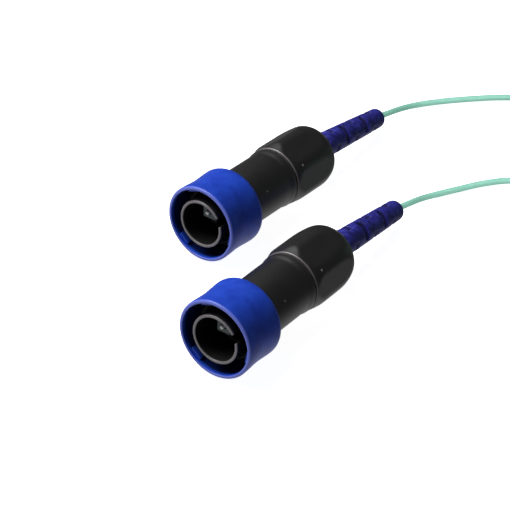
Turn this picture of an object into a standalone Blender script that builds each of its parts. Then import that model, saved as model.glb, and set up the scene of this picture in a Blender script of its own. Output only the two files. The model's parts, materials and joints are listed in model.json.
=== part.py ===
"""Fibre optic patch cord: two sealed twist-lock plugs joined by one cable.

All sizes are in millimetres. A plug's pieces are modelled in the plug's own frame: its axis is +Y,
station 0 is the front rim of the coupling ring, stations grow towards the cable, and +Z is up.
"""
import math

import bmesh
import bpy
from mathutils import Matrix, Vector

MM = 0.001

# Clearances
SEAT_GAP = 0.3
TURN_GAP = 0.35
CUT_OVERSHOOT = 1.0

# Cable and fibre
CABLE_DIA = 2.0
BUFFER_DIA = 0.9

# Coupling ring
RING_DIA = 24.0
RING_LENGTH = 15.6
RING_WALL = 1.1
RING_WAIST = 0.28
RING_FRONT_ROUND = 0.7
RING_REAR_ROUND = 2.0
RING_WEB = 4.4
RING_BORE_CHAMFER = 0.25
LUG_COUNT = 3
LUG_FIRST_ANGLE = 111.0
LUG_WIDTH = 3.8
LUG_LENGTH = 2.4
LUG_HEIGHT = 0.9
LUG_STATION = 0.9

# Snap ring and wave washer that hold and load the coupling ring
CLIP_THICKNESS = 0.5
CLIP_WIDTH = 1.8
CLIP_OPENING = 4.0
GROOVE_DEPTH = 0.7
WAVE_HEIGHT = 0.8
WAVE_THICKNESS = 0.35
WAVE_COUNT = 4
LAND_LIP = 1.4

# Plug body
SHROUD_DIA = 15.0
SHROUD_WALL = 0.85
SHROUD_FRONT = 0.2
SHROUD_ROUND = 0.2
KEY_WIDTH = 2.7
KEY_LENGTH = 5.2
KEY_ANGLE = 25.0
LAND_DIA = 16.6
BODY_DIA = 18.0
COLLAR_DIA = 18.8
FLARE_START = 32.0
COLLAR_STATION = 34.4
COLLAR_LENGTH = 0.7
SPIGOT_DIA = 16.4
SPIGOT_LENGTH = 9.4
BODY_BORE = 13.8
STOP_LIP_STATION = 10.8
STOP_LIP_LENGTH = 0.8
STOP_LIP_SHARE = 0.481
SEAL_SECTION = 1.5

# Small-form connector, whose axis lies above the plug's
CONNECTOR_OFFSET = 2.4
HOUSING_FRONT = 4.1
HOUSING_SIZE = 4.5
HOUSING_LENGTH = 14.9
HOUSING_BORE = 3.7
HOUSING_NOSE = 3.1
HOUSING_EDGE = 0.3
FERRULE_DIA = 1.25
FERRULE_TIP = 3.0
FERRULE_LENGTH = 6.2
FLANGE_DIA = 2.9
FLANGE_HEAD = 2.7
FLANGE_FLOOR = 0.7
FLANGE_TAIL_DIA = 1.2
FLANGE_TAIL = 2.0
FERRULE_TRAVEL = 0.6
SPRING_DIA = 2.3
SPRING_WIRE = 0.36
SPRING_TURNS = 4
BACKPOST_SPIGOT = 3.0
BACKPOST_FLANGE = 1.0
BACKPOST_FLANGE_DIA = 4.4
BACKPOST_TAIL = 5.7
BACKPOST_TAIL_DIA = 2.6
CRIMP_WALL = 0.4
CRIMP_LENGTH = 8.6
LATCH_WIDTH = 3.2
LATCH_THICKNESS = 0.8
LATCH_ROOT = 1.6
LATCH_LENGTH = 10.8
LATCH_DROP = 2.5

# Connector carrier
CARRIER_REAR_WALL = 4.4

# Gland
CAGE_FLANGE = 1.0
CAGE_WALL = 1.7
CAGE_SLOTS = 6
CAGE_SLOT_WIDTH = 1.2
CAGE_SLOT_LENGTH = 5.5
CAGE_LENGTH = 9.3
SEAL_TAPER = 1.0
SEAL_TAPER_LENGTH = 2.0
WASHER_THICKNESS = 0.6
NUT_FLATS = 19.1
NUT_CORNER_ROUND = 4.0
NUT_CORNER_ANGLE = 36.0
NUT_FRONT_GAP = 0.6
NUT_FRONT_ROUND = 0.4
NUT_FRONT_CHAMFER = 1.6
NUT_REAR_WALL = 5.4
NUT_REAR_ROUND = 2.3
NUT_REAR_ROUND_LENGTH = 10.0
NUT_REAR_START_ANGLE = 12.0

# Strain-relief boot
BOOT_FLANGE = 3.2
BOOT_BASE_DIA = 8.5
BOOT_TIP_DIA = 6.4
BOOT_LENGTH = 36.6
BOOT_TIP_ROUND = 0.9
BOOT_DROOP = 5.2
BOOT_BEND_LENGTH = 8.0
SLOT_ROWS = 6
SLOT_PITCH = 5.4
SLOT_LENGTH = 1.9
SLOT_CORE = 4.2
SLOT_FIRST = 2.8
CABLE_INSET = 2.0

# Where the plugs and the cable lie on the table
PLUG_A_FACE = (-18.53, -25.67)
PLUG_B_FACE = (18.57, -65.87)
PLUG_A_YAW = 0.0
PLUG_B_YAW = 1.7
ROUTE_A = [(-18.2, 73.0, 4.0), (-17.8, 79.5, 2.6), (-16.2, 86.0, 1.5), (-12.4, 92.5, 1.05), (-5.4, 100.5, 1.05),
           (4.0, 109.5, 1.05), (16.8, 118.2, 1.05), (30.2, 124.3, 1.3), (43.8, 127.9, 1.9)]
ROUTE_B = [(16.2, 32.5, 4.05), (16.6, 39.0, 2.65), (18.2, 45.5, 1.5), (21.6, 53.0, 1.05), (26.3, 61.0, 1.05),
           (32.0, 67.6, 1.05), (40.4, 73.5, 1.05), (49.4, 77.9, 1.3), (58.6, 82.1, 1.9)]
ROUTE_STEP = 5.0
COIL_CENTRE = (48.0, 104.0)
COIL_RADIUS = 18.85
COIL_BUNDLE = 8.0
COIL_ROUND = 1.4
TIE_THICKNESS = 0.6
TIE_WIDTH = 5.0
TIE_ANGLES = (20.0, 205.0)

# Stations along a plug that several pieces share
WEB_FRONT = RING_LENGTH - RING_WEB
CLIP_REAR = WEB_FRONT - WAVE_HEIGHT - 2 * SEAT_GAP
CLIP_FRONT = CLIP_REAR - CLIP_THICKNESS
GROOVE_FRONT = CLIP_FRONT - SEAT_GAP
GROOVE_REAR = CLIP_REAR + SEAT_GAP
LAND_FRONT = GROOVE_FRONT - LAND_LIP
BODY_SHOULDER = RING_LENGTH + TURN_GAP
COLLAR_REAR = COLLAR_STATION + COLLAR_LENGTH
SPIGOT_REAR = COLLAR_REAR + SPIGOT_LENGTH
STOP_LIP_REAR = STOP_LIP_STATION + STOP_LIP_LENGTH
CARRIER_FRONT = STOP_LIP_REAR + SEAT_GAP
HOUSING_REAR = HOUSING_FRONT + HOUSING_LENGTH
BACKPOST_FLANGE_FRONT = HOUSING_REAR + SEAT_GAP
BACKPOST_FLANGE_REAR = BACKPOST_FLANGE_FRONT + BACKPOST_FLANGE
BACKPOST_REAR = BACKPOST_FLANGE_REAR + BACKPOST_TAIL
CABLE_FRONT = BACKPOST_REAR + SEAT_GAP
CRIMP_FRONT = BACKPOST_FLANGE_REAR + SEAT_GAP
CARRIER_WALL_FRONT = BACKPOST_FLANGE_REAR + SEAT_GAP
CAGE_FLANGE_FRONT = SPIGOT_REAR + SEAT_GAP
CAGE_REAR = CAGE_FLANGE_FRONT + CAGE_FLANGE
WASHER_FRONT = CAGE_REAR + SEAT_GAP
BOOT_FRONT = WASHER_FRONT + WASHER_THICKNESS + SEAT_GAP
BOOT_FLANGE_REAR = BOOT_FRONT + BOOT_FLANGE
NUT_WALL_FRONT = BOOT_FLANGE_REAR + SEAT_GAP
NUT_FRONT = COLLAR_REAR + NUT_FRONT_GAP
NUT_REAR = NUT_WALL_FRONT + NUT_REAR_WALL
BOOT_REAR = NUT_REAR + BOOT_LENGTH
FERRULE_REAR = FERRULE_TIP + FERRULE_LENGTH
FLANGE_FRONT = HOUSING_FRONT + HOUSING_NOSE + SEAT_GAP
FLANGE_SHOULDER = FLANGE_FRONT + FLANGE_HEAD
SPRING_FRONT = FLANGE_SHOULDER + SEAT_GAP + SPRING_WIRE / 2
SPRING_REAR = BACKPOST_FLANGE_FRONT - BACKPOST_SPIGOT - SEAT_GAP - SPRING_WIRE / 2

# Radii that several pieces share
SHROUD_BORE_RADIUS = SHROUD_DIA / 2 - SHROUD_WALL
CABLE_HOLE_RADIUS = CABLE_DIA / 2 + SEAT_GAP
BODY_BORE_RADIUS = BODY_BORE / 2
HOUSING_CORNER_REACH = math.hypot(HOUSING_SIZE / 2, CONNECTOR_OFFSET + HOUSING_SIZE / 2)
STOP_LIP_RADIUS = HOUSING_CORNER_REACH + STOP_LIP_SHARE * (BODY_BORE_RADIUS - HOUSING_CORNER_REACH)
NUT_BORE_RADIUS = SPIGOT_DIA / 2 + SEAT_GAP
GLAND_RADIUS = SPIGOT_DIA / 2 - SEAT_GAP

ROUND_SEGMENTS = 28
SMALL_SEGMENTS = 18
TINY_SEGMENTS = 12

MATERIALS = {
    "blue_nylon": ((0.013, 0.064, 0.57), 0.42, 0.0),
    "black_nylon": ((0.012, 0.012, 0.014), 0.48, 0.0),
    "boot_rubber": ((0.020, 0.018, 0.20), 0.6, 0.0),
    "cable_jacket": ((0.21, 0.55, 0.43), 0.5, 0.0),
    "seal_rubber": ((0.02, 0.02, 0.02), 0.8, 0.0),
    "zirconia": ((0.85, 0.86, 0.84), 0.15, 0.0),
    "connector_plastic": ((0.03, 0.06, 0.06), 0.4, 0.0),
    "steel": ((0.55, 0.55, 0.56), 0.3, 1.0),
    "buffer_plastic": ((0.21, 0.55, 0.43), 0.5, 0.0),
    "tie_fabric": ((0.01, 0.01, 0.01), 0.9, 0.0),
}


def clear_scene():
    for thing in list(bpy.data.objects):
        bpy.data.objects.remove(thing)


def make_collection(name):
    collection = bpy.data.collections.new(name)
    bpy.context.scene.collection.children.link(collection)
    return collection


def make_material(name):
    colour, roughness, metallic = MATERIALS[name]
    material = bpy.data.materials.get(name) or bpy.data.materials.new(name)
    material.use_nodes = True
    shader = material.node_tree.nodes["Principled BSDF"]
    shader.inputs["Base Color"].default_value = (*colour, 1.0)
    shader.inputs["Roughness"].default_value = roughness
    shader.inputs["Metallic"].default_value = metallic
    return material


def arc(centre_radius, centre_station, size, start, end, steps):
    """Points (radius, station) on an arc; angle 0 points outwards and 90 degrees rearwards."""
    points = []
    for step in range(steps + 1):
        angle = math.radians(start + (end - start) * step / steps)
        points.append((centre_radius + size * math.cos(angle), centre_station + size * math.sin(angle)))
    return points


def draft(name, data):
    """A working object that is baked into a mesh before it is placed."""
    thing = bpy.data.objects.new(name, data)
    bpy.context.scene.collection.objects.link(thing)
    return thing


def turned(name, outline, segments=ROUND_SEGMENTS, closed=True):
    """Turn (radius, station) points about +Y; they run front to rear outside and back through the bore."""
    mesh = bpy.data.meshes.new(name)
    points = [(radius * MM, station * MM, 0.0) for radius, station in reversed(outline)]
    edges = [(index, index + 1) for index in range(len(points) - 1)]
    if closed:
        edges.append((len(points) - 1, 0))
    mesh.from_pydata(points, edges, [])
    thing = draft(name, mesh)
    screw = thing.modifiers.new("turn", "SCREW")
    screw.axis = "Y"
    screw.steps = segments
    screw.render_steps = segments
    screw.use_merge_vertices = True
    screw.merge_threshold = 0.00001
    return thing


def box(name, low, high):
    """A block between two corners, in millimetres."""
    bpy.ops.mesh.primitive_cube_add(size=1.0)
    thing = bpy.context.object
    thing.name = name
    size = [high[axis] - low[axis] for axis in range(3)]
    middle = [(high[axis] + low[axis]) / 2 for axis in range(3)]
    place = Matrix.Translation(Vector(middle) * MM) @ Matrix.Diagonal(Vector((*size, 1000.0)) * MM)
    thing.data.transform(place)
    return thing


def spin(thing, degrees):
    """Turn a working object's mesh about the plug's axis; positive lifts +X towards +Z."""
    thing.data.transform(Matrix.Rotation(math.radians(-degrees), 4, "Y"))
    return thing


def extruded(name, outline, half_width, axis):
    """A flat outline with thickness: (station, height) along X, or (x, z) along Y."""
    curve = bpy.data.curves.new(name, "CURVE")
    curve.dimensions = "2D"
    curve.fill_mode = "BOTH"
    curve.extrude = half_width * MM
    spline = curve.splines.new("POLY")
    spline.points.add(len(outline) - 1)
    for point, (across, up) in zip(spline.points, outline):
        point.co = (across * MM, up * MM, 0.0, 1.0)
    spline.use_cyclic_u = True
    thing = curve_to_mesh(draft(name, curve))
    if axis == "X":
        turn = Matrix(((0, 0, 1, 0), (1, 0, 0, 0), (0, 1, 0, 0), (0, 0, 0, 1)))
    else:
        turn = Matrix(((1, 0, 0, 0), (0, 0, -1, 0), (0, 1, 0, 0), (0, 0, 0, 1)))
    thing.data.transform(turn)
    return thing


def tube(name, points, diameter, resolution=2):
    """A round rod along points in millimetres, with filled ends."""
    curve = bpy.data.curves.new(name, "CURVE")
    curve.dimensions = "3D"
    curve.bevel_depth = diameter / 2 * MM
    curve.bevel_resolution = resolution
    curve.use_fill_caps = True
    spline = curve.splines.new("POLY")
    spline.points.add(len(points) - 1)
    for point, place in zip(spline.points, points):
        point.co = (*(Vector(place) * MM), 1.0)
    return curve_to_mesh(draft(name, curve))


def curve_to_mesh(thing):
    mesh = evaluated_mesh(thing)
    mesh.transform(thing.matrix_world)
    weld = bmesh.new()
    weld.from_mesh(mesh)
    bmesh.ops.remove_doubles(weld, verts=weld.verts, dist=0.000001)
    bmesh.ops.recalc_face_normals(weld, faces=weld.faces)
    weld.to_mesh(mesh)
    weld.free()
    name = thing.name
    bpy.data.objects.remove(thing)
    return draft(name, mesh)


def evaluated_mesh(thing):
    graph = bpy.context.evaluated_depsgraph_get()
    return bpy.data.meshes.new_from_object(thing.evaluated_get(graph))


def combine(thing, others, operation):
    """Add, cut or intersect with other working objects, which are used up."""
    for other in others:
        modifier = thing.modifiers.new("combine", "BOOLEAN")
        modifier.operation = operation
        modifier.solver = "EXACT"
        modifier.object = other
    mesh = evaluated_mesh(thing)
    name = thing.name
    for used in [thing, *others]:
        bpy.data.objects.remove(used)
    return draft(name, mesh)


def finish(thing, material, smooth_angle=35.0):
    """The baked, smoothed mesh of a working object, in its material."""
    mesh = evaluated_mesh(thing)
    mesh.name = thing.name
    bpy.data.objects.remove(thing)
    mesh.shade_smooth()
    mesh.set_sharp_from_angle(angle=math.radians(smooth_angle))
    mesh.materials.clear()
    mesh.materials.append(make_material(material))
    return mesh


def coupling_ring():
    outer = RING_DIA / 2
    bore = outer - RING_WALL
    web_bore = LAND_DIA / 2 + TURN_GAP
    outline = [(bore + RING_BORE_CHAMFER, 0.0)]
    outline += arc(outer - RING_FRONT_ROUND, RING_FRONT_ROUND, RING_FRONT_ROUND, -90, 0, 2)
    waist_start = RING_FRONT_ROUND
    waist_length = RING_LENGTH - RING_REAR_ROUND - waist_start
    for step in range(1, 4):
        share = step / 4
        outline.append((outer - RING_WAIST * math.sin(math.pi * share), waist_start + waist_length * share))
    outline += arc(outer - RING_REAR_ROUND, RING_LENGTH - RING_REAR_ROUND, RING_REAR_ROUND, 0, 90, 3)
    outline += [(web_bore, RING_LENGTH), (web_bore, WEB_FRONT), (bore, WEB_FRONT), (bore, RING_BORE_CHAMFER)]
    ring = turned("coupling_ring", outline)
    lugs = []
    for index in range(LUG_COUNT):
        low = (bore - LUG_HEIGHT, LUG_STATION, -LUG_WIDTH / 2)
        high = (bore + RING_WALL / 2, LUG_STATION + LUG_LENGTH, LUG_WIDTH / 2)
        lugs.append(spin(box("lug", low, high), LUG_FIRST_ANGLE + index * 360 / LUG_COUNT))
    return finish(combine(ring, lugs, "UNION"), "blue_nylon")


def plug_body():
    shroud = SHROUD_DIA / 2
    land = LAND_DIA / 2
    barrel = BODY_DIA / 2
    collar = COLLAR_DIA / 2
    spigot = SPIGOT_DIA / 2
    outline = [(SHROUD_BORE_RADIUS, SHROUD_FRONT), (shroud - SHROUD_ROUND, SHROUD_FRONT)]
    outline += [(shroud, SHROUD_FRONT + SHROUD_ROUND), (shroud, LAND_FRONT), (land, LAND_FRONT)]
    outline += [(land, GROOVE_FRONT), (land - GROOVE_DEPTH, GROOVE_FRONT)]
    outline += [(land - GROOVE_DEPTH, GROOVE_REAR), (land, GROOVE_REAR), (land, BODY_SHOULDER)]
    outline += [(barrel - SHROUD_ROUND, BODY_SHOULDER), (barrel, BODY_SHOULDER + SHROUD_ROUND)]
    for step in range(4):
        share = step / 3
        ease = share * share * (3 - 2 * share)
        station = FLARE_START + (COLLAR_STATION - FLARE_START) * share
        outline.append((barrel + (collar - barrel) * ease, station))
    outline += [(collar, COLLAR_REAR - SHROUD_ROUND), (collar - SHROUD_ROUND, COLLAR_REAR)]
    outline += [(spigot, COLLAR_REAR), (spigot, SPIGOT_REAR), (BODY_BORE_RADIUS, SPIGOT_REAR)]
    outline += [(BODY_BORE_RADIUS, STOP_LIP_REAR), (STOP_LIP_RADIUS, STOP_LIP_REAR)]
    outline += [(STOP_LIP_RADIUS, STOP_LIP_STATION), (SHROUD_BORE_RADIUS, STOP_LIP_STATION)]
    body = turned("plug_body", outline)
    low = (SHROUD_BORE_RADIUS - CUT_OVERSHOOT, SHROUD_FRONT - CUT_OVERSHOOT, -KEY_WIDTH / 2)
    high = (shroud + CUT_OVERSHOOT, SHROUD_FRONT + KEY_LENGTH, KEY_WIDTH / 2)
    key = spin(box("key_slot", low, high), KEY_ANGLE)
    return finish(combine(body, [key], "DIFFERENCE"), "black_nylon")


def face_seal():
    section = SEAL_SECTION / 2
    middle = SHROUD_DIA / 2 + SEAT_GAP + section
    outline = arc(middle, LAND_FRONT - SEAT_GAP - section, section, 0, 300, 5)
    return finish(turned("face_seal", outline), "seal_rubber")


def ring_clip():
    inner = LAND_DIA / 2 - GROOVE_DEPTH + SEAT_GAP
    outline = [(inner, CLIP_FRONT), (inner + CLIP_WIDTH, CLIP_FRONT)]
    outline += [(inner + CLIP_WIDTH, CLIP_REAR), (inner, CLIP_REAR)]
    clip = turned("ring_clip", outline)
    low = (0.0, CLIP_FRONT - CUT_OVERSHOOT, -CLIP_OPENING / 2)
    high = (inner + CLIP_WIDTH + CUT_OVERSHOOT, CLIP_REAR + CUT_OVERSHOOT, CLIP_OPENING / 2)
    opening = spin(box("clip_opening", low, high), -90)
    return finish(combine(clip, [opening], "DIFFERENCE"), "steel")


def ring_wave_spring():
    """A flat washer whose every vertex is then lifted into waves around the ring."""
    inner = LAND_DIA / 2 + SEAT_GAP
    outer = RING_DIA / 2 - RING_WALL - SEAT_GAP
    middle = WEB_FRONT - SEAT_GAP - WAVE_HEIGHT / 2
    front = middle - WAVE_THICKNESS / 2
    rear = middle + WAVE_THICKNESS / 2
    outline = [(inner, front), (outer, front), (outer, rear), (inner, rear)]
    mesh = finish(turned("ring_wave_spring", outline, ROUND_SEGMENTS + 4), "steel")
    swing = (WAVE_HEIGHT - WAVE_THICKNESS) / 2 * MM
    for vertex in mesh.vertices:
        vertex.co.y += swing * math.cos(WAVE_COUNT * math.atan2(vertex.co.z, vertex.co.x))
    return mesh


def connector_carrier():
    radius = BODY_BORE_RADIUS - SEAT_GAP
    rear = CARRIER_WALL_FRONT + CARRIER_REAR_WALL
    pocket = HOUSING_SIZE / 2 + SEAT_GAP
    slot = BACKPOST_TAIL_DIA / 2 + SEAT_GAP + CRIMP_WALL + TURN_GAP
    outline = [(0.0, CARRIER_FRONT), (radius, CARRIER_FRONT), (radius, rear), (0.0, rear)]
    carrier = turned("connector_carrier", outline, closed=False)
    low = (-pocket, CARRIER_FRONT - CUT_OVERSHOOT, -BODY_BORE)
    housing_pocket = box("pocket", low, (pocket, CARRIER_WALL_FRONT, CONNECTOR_OFFSET + pocket))
    low = (-slot, CARRIER_FRONT - CUT_OVERSHOOT, -BODY_BORE)
    slot_rear = rear + CUT_OVERSHOOT
    tail_slot = box("tail_slot", low, (slot, slot_rear, CONNECTOR_OFFSET))
    outline = [(0.0, CARRIER_FRONT), (slot, CARRIER_FRONT), (slot, slot_rear), (0.0, slot_rear)]
    slot_end = turned("slot_end", outline, SMALL_SEGMENTS, closed=False)
    slot_end.location.z = CONNECTOR_OFFSET * MM
    return finish(combine(carrier, [housing_pocket, tail_slot, slot_end], "DIFFERENCE"), "black_nylon")


def connector_housing():
    half = HOUSING_SIZE / 2
    block = box("connector_housing", (-half, HOUSING_FRONT, -half), (half, HOUSING_REAR, half))
    bevel = block.modifiers.new("edges", "BEVEL")
    bevel.width = HOUSING_EDGE * MM
    bevel.segments = 2
    nose = FERRULE_DIA / 2 + SEAT_GAP
    cavity_front = HOUSING_FRONT + HOUSING_NOSE
    cut_front = HOUSING_FRONT - CUT_OVERSHOOT
    cut_rear = HOUSING_REAR + CUT_OVERSHOOT
    outline = [(0.0, cut_front), (nose, cut_front), (nose, cavity_front)]
    outline += [(HOUSING_BORE / 2, cavity_front), (HOUSING_BORE / 2, cut_rear), (0.0, cut_rear)]
    bore = turned("housing_bore", outline, SMALL_SEGMENTS, closed=False)
    return finish(combine(block, [bore], "DIFFERENCE"), "connector_plastic")


def latch_lever():
    """Drawn from its root, which lies at (0, 0) and is the point it flexes about."""
    half = LATCH_THICKNESS / 2
    outline = [(-half, -half), (LATCH_ROOT, -half), (LATCH_LENGTH, -half - LATCH_DROP)]
    outline += [(LATCH_LENGTH, half - LATCH_DROP), (LATCH_ROOT, half), (-half, half)]
    lever = extruded("latch_lever", outline, LATCH_WIDTH / 2, "X")
    return finish(lever, "connector_plastic")


def ferrule():
    radius = FERRULE_DIA / 2
    chamfer = radius / 4
    outline = [(0.0, FERRULE_TIP), (radius - chamfer, FERRULE_TIP), (radius, FERRULE_TIP + chamfer)]
    outline += [(radius, FERRULE_REAR), (0.0, FERRULE_REAR)]
    return finish(turned("ferrule", outline, TINY_SEGMENTS + 2, closed=False), "zirconia")


def ferrule_flange():
    head = FLANGE_DIA / 2
    tail = FLANGE_TAIL_DIA / 2
    cup = FERRULE_DIA / 2 + SEAT_GAP
    floor = FLANGE_SHOULDER - FLANGE_FLOOR
    outline = [(0.0, floor), (cup, floor), (cup, FLANGE_FRONT), (head, FLANGE_FRONT)]
    outline += [(head, FLANGE_SHOULDER), (tail, FLANGE_SHOULDER)]
    outline += [(tail, FLANGE_SHOULDER + FLANGE_TAIL), (0.0, FLANGE_SHOULDER + FLANGE_TAIL)]
    return finish(turned("ferrule_flange", outline, TINY_SEGMENTS, closed=False), "steel")


def ferrule_spring():
    points = []
    steps = SPRING_TURNS * 8
    for step in range(steps + 1):
        angle = math.tau * SPRING_TURNS * step / steps
        station = SPRING_FRONT + (SPRING_REAR - SPRING_FRONT) * step / steps
        points.append((SPRING_DIA / 2 * math.cos(angle), station, SPRING_DIA / 2 * math.sin(angle)))
    return finish(tube("ferrule_spring", points, SPRING_WIRE, 1), "steel", 60.0)


def connector_backpost():
    bore = BUFFER_DIA / 2 + SEAT_GAP
    spigot = HOUSING_BORE / 2 - TURN_GAP
    spigot_front = BACKPOST_FLANGE_FRONT - BACKPOST_SPIGOT
    flange = BACKPOST_FLANGE_DIA / 2
    tail = BACKPOST_TAIL_DIA / 2
    outline = [(bore, spigot_front), (spigot, spigot_front), (spigot, BACKPOST_FLANGE_FRONT)]
    outline += [(flange, BACKPOST_FLANGE_FRONT), (flange, BACKPOST_FLANGE_REAR)]
    outline += [(tail, BACKPOST_FLANGE_REAR), (tail, BACKPOST_REAR), (bore, BACKPOST_REAR)]
    return finish(turned("connector_backpost", outline, TINY_SEGMENTS), "steel")


def crimp_sleeve():
    wide = BACKPOST_TAIL_DIA / 2 + SEAT_GAP
    narrow = CABLE_HOLE_RADIUS
    rear = CRIMP_FRONT + CRIMP_LENGTH
    neck = CABLE_FRONT
    outline = [(wide, CRIMP_FRONT), (wide + CRIMP_WALL, CRIMP_FRONT), (wide + CRIMP_WALL, neck)]
    outline += [(narrow + CRIMP_WALL, neck + CRIMP_WALL), (narrow + CRIMP_WALL, rear), (narrow, rear)]
    outline += [(narrow, neck + CRIMP_WALL), (wide, neck)]
    return finish(turned("crimp_sleeve", outline, TINY_SEGMENTS), "steel")


def fibre_buffer():
    front = FLANGE_SHOULDER + FLANGE_TAIL + FERRULE_TRAVEL + SEAT_GAP
    outline = [(0.0, front), (BUFFER_DIA / 2, front), (BUFFER_DIA / 2, BACKPOST_REAR), (0.0, BACKPOST_REAR)]
    return finish(turned("fibre_buffer", outline, TINY_SEGMENTS - 4, closed=False), "buffer_plastic")


def gland_cage():
    outer = BODY_BORE_RADIUS - SEAT_GAP
    inner = outer - CAGE_WALL
    front = CAGE_FLANGE_FRONT - CAGE_LENGTH
    outline = [(inner, front), (outer - CAGE_WALL / 2, front), (outer, front + CAGE_WALL)]
    outline += [(outer, CAGE_FLANGE_FRONT), (GLAND_RADIUS, CAGE_FLANGE_FRONT), (GLAND_RADIUS, CAGE_REAR)]
    outline += [(inner, CAGE_REAR)]
    cage = turned("gland_cage", outline)
    slots = []
    for index in range(CAGE_SLOTS):
        low = (inner - CUT_OVERSHOOT, front - CUT_OVERSHOOT, -CAGE_SLOT_WIDTH / 2)
        high = (outer + CUT_OVERSHOOT, front + CAGE_SLOT_LENGTH, CAGE_SLOT_WIDTH / 2)
        slots.append(spin(box("cage_slot", low, high), (index + 0.5) * 360 / CAGE_SLOTS))
    return finish(combine(cage, slots, "DIFFERENCE"), "black_nylon")


def gland_seal():
    outer = BODY_BORE_RADIUS - CAGE_WALL - 2 * SEAT_GAP
    front = CAGE_FLANGE_FRONT - CAGE_LENGTH + SEAT_GAP
    outline = [(CABLE_HOLE_RADIUS, front), (outer - SEAL_TAPER, front), (outer, front + SEAL_TAPER_LENGTH)]
    outline += [(outer, CAGE_REAR), (CABLE_HOLE_RADIUS, CAGE_REAR)]
    return finish(turned("gland_seal", outline, SMALL_SEGMENTS), "seal_rubber")


def slip_washer():
    rear = WASHER_FRONT + WASHER_THICKNESS
    outline = [(CABLE_HOLE_RADIUS, WASHER_FRONT), (GLAND_RADIUS, WASHER_FRONT)]
    outline += [(GLAND_RADIUS, rear), (CABLE_HOLE_RADIUS, rear)]
    return finish(turned("slip_washer", outline, SMALL_SEGMENTS), "steel")


def hexagon_outline():
    """Across-flats hexagon with rounded corners, as (x, z) points."""
    points = []
    reach = (NUT_FLATS / 2 - NUT_CORNER_ROUND) / math.cos(math.radians(30))
    for corner in range(6):
        facing = NUT_CORNER_ANGLE + corner * 60
        centre_x = reach * math.cos(math.radians(facing))
        centre_z = reach * math.sin(math.radians(facing))
        for step in range(4):
            angle = math.radians(facing - 30 + 20 * step)
            x = centre_x + NUT_CORNER_ROUND * math.cos(angle)
            z = centre_z + NUT_CORNER_ROUND * math.sin(angle)
            points.append((x, z))
    return points


def nut_corner_radius():
    return (NUT_FLATS / 2 - NUT_CORNER_ROUND) / math.cos(math.radians(30)) + NUT_CORNER_ROUND


def gland_nut():
    middle = (NUT_FRONT + NUT_REAR) / 2
    nut = extruded("gland_nut", hexagon_outline(), (NUT_REAR - NUT_FRONT) / 2, "Y")
    nut.data.transform(Matrix.Translation((0.0, middle * MM, 0.0)))
    rim = NUT_FLATS / 2
    corner = nut_corner_radius()
    cut_front = NUT_FRONT - CUT_OVERSHOOT
    cut_rear = NUT_REAR + CUT_OVERSHOOT
    front_rim = rim - NUT_FRONT_ROUND
    outline = [(0.0, cut_front), (front_rim - NUT_FRONT_ROUND / 4, cut_front), (front_rim, NUT_FRONT)]
    outline += [(rim, NUT_FRONT + NUT_FRONT_ROUND)]
    outline += [(corner + NUT_FRONT_ROUND / 4, NUT_FRONT + NUT_FRONT_CHAMFER)]
    start = NUT_REAR - NUT_REAR_ROUND_LENGTH
    for step in range(4):
        angle = math.radians(NUT_REAR_START_ANGLE + (90 - NUT_REAR_START_ANGLE) * step / 3)
        radius = corner - NUT_REAR_ROUND * (1 - math.cos(angle))
        outline.append((radius, start + NUT_REAR_ROUND_LENGTH * math.sin(angle)))
    outline += [(corner - NUT_REAR_ROUND, cut_rear), (0.0, cut_rear)]
    envelope = turned("nut_envelope", outline, closed=False)
    nut = combine(nut, [envelope], "INTERSECT")
    hole = BOOT_BASE_DIA / 2 + TURN_GAP
    outline = [(0.0, cut_front), (NUT_BORE_RADIUS, cut_front), (NUT_BORE_RADIUS, NUT_WALL_FRONT)]
    outline += [(hole, NUT_WALL_FRONT), (hole, cut_rear), (0.0, cut_rear)]
    bore = turned("nut_bore", outline, closed=False)
    return finish(combine(nut, [bore], "DIFFERENCE"), "black_nylon")


def boot_axis(station):
    """Height and station of the boot's centreline, and its downward angle, at a plug station."""
    start = NUT_REAR
    droop = math.radians(BOOT_DROOP)
    if station <= start:
        return station, 0.0, 0.0
    radius = BOOT_BEND_LENGTH / droop
    angle = min(station - start, BOOT_BEND_LENGTH) / radius
    along = start + radius * math.sin(angle)
    height = -radius * (1 - math.cos(angle))
    rest = max(0.0, station - start - BOOT_BEND_LENGTH)
    return along + rest * math.cos(angle), height - rest * math.sin(angle), angle


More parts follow.
